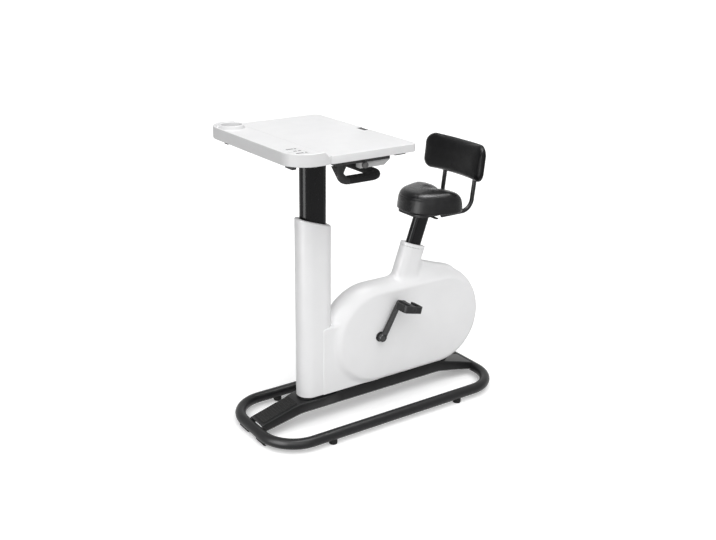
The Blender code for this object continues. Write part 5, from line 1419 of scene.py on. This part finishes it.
def build_crank(sizes, side, sign):
    hub = bpy.context.scene.bike_housing
    centre = (hub.crank_x, 0, hub.crank_z)
    outer, inner = sizes.crank_outer, sizes.crank_outer - sizes.crank_thickness
    length, eye = sizes.crank_length, sizes.crank_half_width
    outline = arc((0, 0), eye * 1.28, 100, 260, 20) + arc((length, 0), eye * 1.05, -84, 84, 16)
    span = sorted((sign * inner, sign * outer))
    arm = slab("arm", [outline], *span, 0.0045, 5, "XZ")
    groove = [(0.030, -eye * 0.50), (length - 0.026, -eye * 0.36),
              (length - 0.020, 0), (length - 0.026, eye * 0.36), (0.030, eye * 0.50), (0.024, 0)]
    face = sign * (outer - 0.0010)
    relief = prism("relief", [groove], *sorted((face, sign * (outer + 0.002))), "XZ")
    arm = softened(carved(arm, relief), 0.0005, 2, 50)
    turn = Matrix.Rotation(-sizes.crank_angle - (pi if sign > 0 else 0), 4, "Y")
    arm.data.transform(Matrix.Translation(centre) @ turn)
    radius = sizes.boss_radius
    start = 0.0775
    profile = [(radius - 0.002, start), (radius, start + 0.0016), (radius, outer - 0.0030),
               (radius - 0.0008, outer - 0.0012), (radius - 0.0026, outer),
               (0.0112, outer), (0.0106, outer - 0.0016), (0.0104, outer - 0.0034)]
    boss = turned("boss", mirrored(profile, sign), centre)
    cap = [(0.0098, outer - 0.0036), (0.0098, outer - 0.0012), (0.0088, outer - 0.0004),
           (0.0070, outer - 0.0002), (0.0066, outer - 0.0012), (0.0045, outer - 0.0013)]
    x, z = crank_end(sizes, sign)
    end = outer + 0.100  # inside the pedal's barrel
    spindle = [(0.0085, inner - 0.0008), (0.0092, inner), (0.0092, outer + 0.0008),
               (0.0086, outer + 0.0030), (0.0060, outer + 0.0032), (0.0060, end - 0.0016),
               (0.0052, end)]
    pin = turned("pin", mirrored(spindle, sign), (x, 0, z))
    crank = joined("crank_arm_" + side, arm, boss, pin)
    show(crank, "crankset", "black_steel", "crank_" + side, finish="crank_paint")
    show(turned("crank_bolt_" + side, mirrored(cap, sign), centre), "crankset", "bare_steel")


def pedal_plan(sizes, side):
    """Outline of a pedal, narrower beside the crank."""
    half_length, half_width = sizes.pedal_length / 2, sizes.pedal_width / 2
    corner = 0.013
    half = [(half_length - 0.020, -half_width), (half_length - 0.0045, -half_width + 0.0250),
            (half_length, -half_width + 0.0340)]
    half += arc((half_length - corner, half_width - corner), corner, 0, 90, 10)
    outline = half + [(-x, y) for x, y in reversed(half)]
    return [(x, side * y) for x, y in outline]


def build_pedal(sizes, side, sign):
    x, z = crank_end(sizes, sign)
    half_length, half_width = sizes.pedal_length / 2, sizes.pedal_width / 2
    bar, barrel = sizes.pedal_bar, sizes.pedal_barrel
    middle = sign * (sizes.crank_outer + 0.005 + half_width)
    tread, slot = half_length - bar, half_width - bar
    short, by_barrel = half_width - bar - 0.0192, 0.0104
    windows = []
    for near, far in ((-tread, -by_barrel), (tread, by_barrel)):
        windows.append([(near, sign * slot), (far, sign * slot), (far, -sign * slot),
                        (near, -sign * short)])
    half_thick = sizes.pedal_thickness / 2
    cage = slab("cage", [pedal_plan(sizes, sign)] + windows, -half_thick, half_thick, 0.0024, 3)
    reliefs = []
    for end in (-1, 1):
        for face in (-1, 1):
            across = sorted((end * 0.0150, end * (tread - 0.0005)))
            along = sorted((-sign * (half_width + 0.01), -sign * (short - 0.004)))
            up = sorted((face * 0.0050, face * (half_thick + 0.01)))
            reliefs.append(rounded_block("relief", (across[0], along[0], up[0]),
                                         (across[1], along[1], up[1]), 0.0015, 2))
    cage = carved(cage, joined("reliefs", *reliefs))
    reach = half_width + 0.001
    profile = [(0.0068, -reach), (barrel - 0.003, -reach), (barrel - 0.0008, -reach + 0.0015),
               (barrel, -reach + 0.004), (barrel, reach - 0.004),
               (barrel - 0.0008, reach - 0.0015), (barrel - 0.003, reach), (0.0068, reach)]
    parts = [cage, turned("barrel", profile, (0, 0, 0), ring=True)]
    teeth, pitch, half_tooth, half_gap = 9, 0.0062, 0.0022, 0.0012
    for end in (-1, 1):
        tooth_x = end * (half_length - 0.0078)
        for step in range(teeth):
            y = sign * (-half_width + 0.036 + step * pitch)
            for face in (-1, 1):
                span = sorted((face * (half_thick - 0.0006), face * (half_thick + 0.0010)))
                parts.append(rounded_block(
                    "tooth", (tooth_x - half_tooth, y - half_gap, span[0]),
                    (tooth_x + half_tooth, y + half_gap, span[1]), 0.0005, 1))
    pedal = joined("platform_pedal_" + side, *parts)
    pedal.data.transform(Matrix.Translation((x, middle, z))
                         @ Matrix.Rotation(-sizes.pedal_tilt, 4, "Y"))
    show(pedal, "pedal_" + side, "black_plastic", "pedal_" + side)


class BuildDrive(bpy.types.Operator):
    """Build the trim rings, cranks and pedals"""
    bl_idname = "desk_bike.drive"
    bl_label = "Cranks and Pedals"

    def execute(self, context):
        sizes = context.scene.bike_drive
        build_trim_rings()
        for side, sign in SIDES:
            build_crank(sizes, side, sign)
            build_pedal(sizes, side, sign)
        return {"FINISHED"}


# Seat

def build_post():
    sizes = bpy.context.scene.bike_housing
    length, width, wall, foot = 0.038, 0.020, 0.002, -0.320
    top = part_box("seat_post")[1].z
    cosine, sine = cos(sizes.post_tilt), sin(sizes.post_tilt)
    rings = []
    for inset, upper in ((0, False), (0, True), (wall, True), (wall, False)):
        ring = []
        for along, across in obround(length - inset, width - inset):
            height = (top - sizes.post_z + along * sine) / cosine if upper else foot
            ring.append((along, across, height))
        rings.append(ring)
    post = skin("saddle_post", rings, closed=True)
    post.data.transform(post_frame(sizes))
    show(post, "seat", "black_steel", "seat_post", finish="gloss_black")


def build_pan():
    low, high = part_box("seat_pan")
    front, rear = 0.050, 0.030
    outline = arc((high.x - rear, low.y + rear), rear, -90, 0, 12)
    outline += arc((high.x - rear, high.y - rear), rear, 0, 90, 12)
    outline += arc((low.x + front, high.y - front), front, 90, 180, 16)
    outline += arc((low.x + front, low.y + front), front, 180, 270, 16)
    show(slab("saddle_pan", [outline], low.z, high.z, 0.0058, 4), "seat", "black_plastic",
         "seat_pan")
    show_lever("height_lever", "seat_lever", 0.0022)


def polygon_distance(x, y, outline):
    """Signed distance to a closed outline, negative inside."""
    x, y = np.asarray(x, float), np.asarray(y, float)
    nearest = np.full(x.shape, 1e9)
    inside = np.zeros(x.shape, bool)
    for (ax, ay), (bx, by) in zip(outline, outline[1:] + outline[:1]):
        ex, ey = bx - ax, by - ay
        size = ex * ex + ey * ey
        share = np.clip(((x - ax) * ex + (y - ay) * ey) / size, 0, 1)
        nearest = np.minimum(nearest, (x - ax - share * ex) ** 2 + (y - ay - share * ey) ** 2)
        crosses = (ay > y) != (by > y)
        if ey:
            inside ^= crosses & (x < ax + (y - ay) * ex / ey)
    return np.where(inside, -1, 1) * np.sqrt(nearest)


def rounded_line(points, rounds):
    """Corner cutting on a closed outline."""
    for _ in range(rounds):
        cut = []
        for (ax, ay), (bx, by) in zip(points, points[1:] + points[:1]):
            cut += [(0.75 * ax + 0.25 * bx, 0.75 * ay + 0.25 * by),
                    (0.25 * ax + 0.75 * bx, 0.25 * ay + 0.75 * by)]
        points = cut
    return points


def saddle_plan(inset):
    """Outline of the saddle at its hem: a blunt nose that widens to two rear lobes."""
    low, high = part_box("seat_cushion")
    half = [(low.x + x, y) for x, y
            in ((0.020, 0), (0.022, 0.024), (0.028, 0.049), (0.040, 0.075), (0.061, 0.098),
                (0.089, 0.115), (0.122, 0.128), (0.152, 0.138))]
    half += [(high.x - x, y) for x, y
             in ((0.080, 0.147), (0.046, 0.149), (0.016, 0.137), (0.000, 0.110),
                 (-0.003, 0.070), (0.006, 0.030), (0.011, 0))]
    outline = half + [(x, -y) for x, y in reversed(half[1:-1])]
    middle = ((low.x + high.x) / 2, 0)
    shrink_x = 1 - inset / (high.x - low.x) * 2
    shrink_y = 1 - inset / high.y
    outline = [(middle[0] + (x - middle[0]) * shrink_x, y * shrink_y) for x, y in outline]
    return rounded_line(outline, 2)


def saddle_field(sizes):
    """Crowned pad over the saddle's plan, hollow between the lobes and falling to the rear."""
    low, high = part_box("seat_cushion")
    outline = saddle_plan(sizes.swell * 0.5)
    top = sizes.cushion_top - sizes.swell * 0.35
    skirt_top = low.z + sizes.skirt
    nose_x = low.x
    shoulder, roundness, rear_fall, dip_width = 0.046, 2.2, 0.018, 0.030
    top_edge, hem_edge, nose_lift = 0.028, 0.005, 0.004

    def field(x, y, z):
        shape = np.asarray(x, float).shape
        edge = polygon_distance(x, y, outline)
        nose = 1 - smooth_step(x, nose_x + 0.02, nose_x + 0.12)
        share = np.clip((z - low.z) / sizes.skirt, 0, 1.2)
        edge = edge + (sizes.flare + sizes.nose_flare * nose) * share
        run = np.clip(-edge / shoulder, 0, 1)
        crown = np.sqrt(np.clip(1 - (1 - run) ** roundness, 0, 1))
        rear = smooth_step(x, nose_x + 0.105, high.x)
        fall = rear_fall * smooth_step(x, nose_x + 0.175, high.x + 0.010)
        dip = sizes.dip * np.exp(-(y / dip_width) ** 2) * rear + fall
        surface = skirt_top + (top - skirt_top) * crown - dip
        body = smooth_max(edge, z - surface, top_edge)
        hem = low.z + sizes.hem + nose_lift * nose
        return smooth_max(body, hem - z, hem_edge).reshape(shape)

    return field


PAD_CELL = 0.0052
PAD_PRESSURE = 4.0
PAD_FRAMES = 20


def puffed(item, pressure, limit, fixed):
    """Swell a closed pad with air pressure, held still where fixed says so."""
    rest = np.array([vertex.co[:] for vertex in item.data.vertices])
    scene = bpy.context.scene
    held = item.vertex_groups.new(name="held")
    held.add([index for index, point in enumerate(rest) if fixed(point)], 1.0, "REPLACE")
    cloth = item.modifiers.new("padding", "CLOTH")
    settings = cloth.settings
    settings.quality = 6
    settings.mass = 0.25
    settings.tension_stiffness = 24
    settings.compression_stiffness = 24
    settings.shear_stiffness = 12
    settings.bending_stiffness = 2.5
    settings.use_pressure = True
    settings.uniform_pressure_force = pressure
    settings.effector_weights.gravity = 0
    settings.vertex_group_mass = "held"
    cloth.collision_settings.use_collision = False
    cloth.point_cache.frame_start = 1
    cloth.point_cache.frame_end = PAD_FRAMES
    for step in range(1, PAD_FRAMES + 1):
        scene.frame_set(step)
    shape = item.evaluated_get(bpy.context.evaluated_depsgraph_get())
    swollen = np.array([vertex.co[:] for vertex in shape.data.vertices])
    item.modifiers.clear()
    scene.frame_set(1)
    move = swollen - rest
    reach = np.linalg.norm(move, axis=1)[:, None]
    move *= np.tanh(reach / limit) * limit / np.maximum(reach, 1e-9)
    item.data.vertices.foreach_set("co", (rest + move).ravel())
    item.data.update()
    item.vertex_groups.clear()
    return item


def seamed(item, place, depth, width):
    """Press a sewn line into a pad; place gives each point's distance from the line."""
    mesh = item.data
    for vertex in mesh.vertices:
        away = abs(place(vertex.co)) / width
        if away < 2.5:
            vertex.co -= vertex.normal * depth * np.exp(-away * away)
    mesh.update()
    return item


def padded_piece(name, field, low, high, swell, fixed):
    item = field_surface(name, field, low, high, PAD_CELL)
    item = puffed(item, PAD_PRESSURE, swell, fixed)
    subdivide = item.modifiers.new("smooth", "SUBSURF")
    subdivide.levels = 1
    subdivide.render_levels = 1
    return settled(item)


def build_saddle(sizes):
    low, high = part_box("seat_cushion")
    margin = Vector((0.004,) * 3)
    held, seam_depth, seam_width = 0.008, 0.0008, 0.0022
    saddle = padded_piece("saddle", saddle_field(sizes), low - margin, high + margin,
                          sizes.swell, lambda point: point[2] < low.z + held)
    seam = low.z + sizes.skirt - 0.008
    saddle = seamed(saddle, lambda place: place.z - seam, seam_depth, seam_width)
    show(saddle, "seat", "black_leather", "seat_cushion", angle=60)


def back_lean(sizes):
    return (Matrix.Translation((sizes.bar_x, 0, sizes.tilt_z))
            @ Matrix.Rotation(sizes.back_tilt, 4, "Y"))


# Distances ahead of the line of the backrest's tubes
PLATE_FRONT = 0.0130
PAD_BACK = 0.0133


def pad_middle(sizes):
    """Height of the pad's middle along the leaning line."""
    return (sizes.pad_z - sizes.tilt_z) / cos(sizes.back_tilt)


def build_back_frame(sizes):
    lean = back_lean(sizes)
    centre = pad_middle(sizes)
    low_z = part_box("backrest_frame")[0].z + sizes.bar_radius
    bend, foot_x = sizes.bar_bend, sizes.bar_x - (sizes.tilt_z - low_z) * tan(sizes.back_tilt)
    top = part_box("backrest_frame")[1].z - 0.001
    parts = []
    for sign in (-1, 1):
        y = sign * sizes.bar_y
        line = [(sizes.bar_front, y, low_z)]
        line += [(x, y, z) for x, z in arc((foot_x - bend, low_z + bend), bend, -90, 0, 24)]
        line.append((sizes.bar_x + (top - sizes.tilt_z) * tan(sizes.back_tilt), y, top))
        path, radii = domed(line, sizes.bar_radius, 0.004)
        parts.append(sweep("bar", path, radii, 28, normal=(0, 1, 0)))
    half_width, half_height = 0.130, 0.055
    plate = rounded_block("plate", (-PLATE_FRONT, -half_width, centre - half_height),
                          (-0.0085, half_width, centre + half_height), 0.0018)
    heads = []
    for y in (-0.100, 0.100):
        for up in (-0.040, 0.040):
            head = [(0.0065, 0), (0.0065, 0.0016), (0.0054, 0.0034), (0.0020, 0.0042)]
            bolt = turned("bolt", head, (0, 0, 0), "Z", 20)
            bolt.data.transform(Matrix.Translation((sizes.bar_radius - 0.0012, y, centre + up))
                                @ Matrix.Rotation(pi / 2, 4, "Y"))
            heads.append(bolt)
    plate = joined("plate", plate, *heads)
    plate.data.transform(lean)
    show(joined("backrest_tubes", *parts, plate), "seat", "black_steel", "backrest_frame")


def back_pad_field(sizes):
    """Pad with round corners and a crowned front, swept forward at its ends."""
    centre = pad_middle(sizes)
    swell = sizes.swell * 0.55
    half_width, half_height = sizes.pad_half_width - swell, sizes.pad_height / 2 - swell
    thickness = sizes.pad_thickness - swell
    crown_height, crown_reach, front_edge, back_edge = 0.006, 0.06, 0.028, 0.010

    def field(x, y, z):
        across = y / sizes.pad_half_width
        behind = x + PAD_BACK + sizes.pad_sweep * across * across
        corner = 0.044 + 0.008 * smooth_step(z - centre, -half_height, half_height)
        edge = box_distance(y, z - centre, half_width, half_height, corner)
        crown = crown_height * np.clip(-edge / crown_reach, 0, 1)
        front = -behind - thickness + crown_height - crown
        body = smooth_max(edge, front, front_edge)
        return smooth_max(body, behind + 0.0002, back_edge)

    return field


def build_back_pad(sizes):
    centre = pad_middle(sizes)
    low = (-PAD_BACK - sizes.pad_thickness - sizes.pad_sweep, -sizes.pad_half_width,
           centre - sizes.pad_height / 2)
    high = (-PLATE_FRONT, sizes.pad_half_width, centre + sizes.pad_height / 2)
    held, seam, seam_depth, seam_width = 0.0145, 0.0245, 0.0012, 0.0024

    def against_plate(point):
        return point[0] > -held - sizes.pad_sweep * (point[1] / sizes.pad_half_width) ** 2

    pad = padded_piece("backrest", back_pad_field(sizes), low, high, sizes.swell, against_plate)

    def from_seam(place):
        across = place.y / sizes.pad_half_width
        return place.x + seam + sizes.pad_sweep * across * across

    pad = seamed(pad, from_seam, seam_depth, seam_width)
    pad.data.transform(back_lean(sizes))
    # The backrest takes the darker leatherette: painted shade for its less lit face.
    show(pad, "seat", "black_leather", "backrest_pad", finish="shaded_back_leather", angle=60)


class BuildSeatFrame(bpy.types.Operator):
    """Build the seat post, the saddle's pan and lever, and the backrest's tubes"""
    bl_idname = "desk_bike.seat_frame"
    bl_label = "Seat Post and Tubes"

    def execute(self, context):
        build_post()
        build_pan()
        build_back_frame(context.scene.bike_seat)
        return {"FINISHED"}


class BuildSaddle(bpy.types.Operator):
    """Build the padded saddle"""
    bl_idname = "desk_bike.saddle"
    bl_label = "Saddle"

    def execute(self, context):
        build_saddle(context.scene.bike_seat)
        return {"FINISHED"}


class BuildBackrest(bpy.types.Operator):
    """Build the padded backrest"""
    bl_idname = "desk_bike.backrest"
    bl_label = "Backrest"

    def execute(self, context):
        build_back_pad(context.scene.bike_seat)
        return {"FINISHED"}


# Pieces that keep their own shape

KEPT = {
    "black_steel": ("column_tube", "main_frame", "fixed_rail_left", "fixed_rail_right",
                    "slider_rail_left", "slider_rail_right"),
    "black_plastic": ("column_bush", "seat_bush", "drive_pulley"),
    "rubber": ("drive_belt",),
    "bare_steel": ("roller_axle", "gas_cylinder", "gas_rod", "crank_bearing_left",
                   "crank_bearing_right", "crank_axle", "flywheel_axle", "brake_magnet"),
    "cast_iron": ("flywheel",),
}


class FinishInnerWorks(bpy.types.Operator):
    """Finish the rails, the welded frame and the drive inside the housing"""
    bl_idname = "desk_bike.inner_works"
    bl_label = "Rails and Inner Works"

    def execute(self, context):
        for slot, names in KEPT.items():
            for name in names:
                node = frame["nodes"][name]
                node.data.materials.clear()
                node.data.materials.append(finish_named(slot))
        return {"FINISHED"}


# Stage

CAMERA_PLACE = (-2.2617, -3.1448, 2.0429)
CAMERA_TURN = (pi / 2 - 0.3479, 0, -0.5750)
CAMERA_SHIFT = (0.0453, -0.0025)
SUN_DIRECTION = (0.26, 0.36, -1)


def area_lamp(name, place, target, size, power, lit=True):
    """A soft box; one that isn't lit only shows as a highlight on glossy pieces."""
    data = bpy.data.lights.new(name, "AREA")
    data.shape = "RECTANGLE"
    data.size, data.size_y = size
    data.energy = power
    lamp = new_object(name, data)
    lamp.location = place
    direction = Vector(target) - Vector(place)
    lamp.rotation_euler = direction.to_track_quat("-Z", "Y").to_euler()
    lamp.visible_camera = False
    lamp.visible_diffuse = lit
    return lamp


def build_lamps(settings):
    sun = bpy.data.lights.new("soft_top", "SUN")
    sun.energy = settings.key
    sun.angle = radians(70)
    lamp = new_object("soft_top", sun)
    lamp.rotation_euler = Vector(SUN_DIRECTION).to_track_quat("-Z", "Y").to_euler()
    area_lamp("front_box", (-1.3, -3.6, 1.6), (0, 0, 0.7), (2.4, 1.8), settings.fill)
    area_lamp("tall_strip", (-2.15, -0.60, 1.15), (COLUMN_X, 0, 1.15), (1.2, 2.2),
              settings.strip, lit=False)
    area_lamp("overhead_box", (0.15, -0.35, 3.30), (0.15, -0.35, 0), (1.60, 1.1),
              settings.gleam, lit=False)


def seen_directly(tree):
    """1 for what the camera sees, also in metal and through glass, and 0 for all else."""
    path = tree.nodes.new("ShaderNodeLightPath")
    total = path.outputs["Is Camera Ray"]
    for output in ("Is Glossy Ray", "Is Transmission Ray"):
        highest = tree.nodes.new("ShaderNodeMath")
        highest.operation = "MAXIMUM"
        tree.links.new(total, highest.inputs[0])
        tree.links.new(path.outputs[output], highest.inputs[1])
        total = highest.outputs["Value"]
    return total


def build_world(settings):
    world = bpy.data.worlds.new("studio")
    bpy.context.scene.world = world
    world.use_nodes = True
    tree = world.node_tree
    background = tree.nodes["Background"]
    background.inputs["Color"].default_value = (1, 1, 1, 1)
    strength = tree.nodes.new("ShaderNodeMapRange")
    strength.inputs["To Min"].default_value = settings.sky
    strength.inputs["To Max"].default_value = 1.0
    tree.links.new(seen_directly(tree), strength.inputs["Value"])
    tree.links.new(strength.outputs["Result"], background.inputs["Strength"])


def build_floor(settings):
    bpy.ops.mesh.primitive_plane_add(size=60, location=(0, 0, 0))
    floor = bpy.context.object
    floor.name = "studio_floor"
    material = new_finish("studio_floor", 0.9, specular=0.0)
    noise = add_node(material, "TexNoise", Scale=0.4, Detail=2.0)
    link(material, place_of(material), noise.inputs["Vector"])
    colour = list(settings.floor)
    seen = ramped(material, noise.outputs["Fac"], [part * 0.995 for part in colour], colour)
    mix = add_node(material, "Mix", data_type="RGBA")
    mix.inputs["A"].default_value = (*[part * settings.bounce for part in colour], 1)
    link(material, seen, mix.inputs["B"])
    link(material, seen_directly(material.node_tree), mix.inputs["Factor"])
    shader = principled(material)
    link(material, mix.outputs["Result"], shader.inputs["Base Color"])
    glow = add_node(material, "MapRange", To_Max=settings.glow)
    link(material, seen_directly(material.node_tree), glow.inputs["Value"])
    shader.inputs["Emission Color"].default_value = (1, 1, 1, 1)
    link(material, glow.outputs["Result"], shader.inputs["Emission Strength"])
    floor.data.materials.append(material)


def build_camera(settings):
    data = bpy.data.cameras.new("photo_view")
    data.lens = settings.lens
    data.sensor_width = 36
    data.shift_x, data.shift_y = CAMERA_SHIFT
    data.clip_end = 100
    camera = new_object("photo_view", data)
    camera.location = CAMERA_PLACE
    camera.rotation_euler = CAMERA_TURN
    bpy.context.scene.camera = camera


class BuildStage(bpy.types.Operator):
    """Build the camera, the lamps, the world and the floor"""
    bl_idname = "desk_bike.stage"
    bl_label = "Stage"

    def execute(self, context):
        settings = context.scene.bike_stage
        build_camera(settings)
        build_lamps(settings)
        build_world(settings)
        build_floor(settings)
        context.scene.view_settings.view_transform = "Standard"
        return {"FINISHED"}


# Panel and run

OPERATORS = (BuildBase, BuildColumn, BuildDesk, BuildUnderDesk, BuildHousing, BuildDrive,
             BuildSeatFrame, BuildSaddle, BuildBackrest, FinishInnerWorks, BuildStage)
SETTINGS = {
    "bike_colours": BikeColours, "bike_base": BikeBaseSizes, "bike_column": BikeColumnSizes,
    "bike_desk": BikeDeskSizes, "bike_housing": BikeHousingSizes, "bike_drive": BikeDriveSizes,
    "bike_seat": BikeSeatSizes, "bike_stage": BikeStageSettings,
}


class DeskBikePanel(bpy.types.Panel):
    """Buttons that build the bike's pieces, and their sizes"""
    bl_idname = "VIEW3D_PT_desk_bike"
    bl_label = "Desk Exercise Bike"
    bl_space_type = "VIEW_3D"
    bl_region_type = "UI"
    bl_category = "Desk Bike"

    def draw(self, context):
        for operator in OPERATORS:
            self.layout.operator(operator.bl_idname)
        for name, group in SETTINGS.items():
            box = self.layout.box()
            box.label(text=name.replace("bike_", "").capitalize())
            for setting in group.__annotations__:
                box.prop(getattr(context.scene, name), setting)


def register():
    for group in (*SETTINGS.values(), *OPERATORS, DeskBikePanel):
        bpy.utils.register_class(group)
    for name, group in SETTINGS.items():
        setattr(bpy.types.Scene, name, PointerProperty(type=group))


def unregister():
    for name in SETTINGS:
        delattr(bpy.types.Scene, name)
    for group in reversed((*SETTINGS.values(), *OPERATORS, DeskBikePanel)):
        bpy.utils.unregister_class(group)


def main():
    register()
    for operator in OPERATORS:
        group, name = operator.bl_idname.split(".")
        getattr(getattr(bpy.ops, group), name)()


if __name__ == "__main__":
    main()
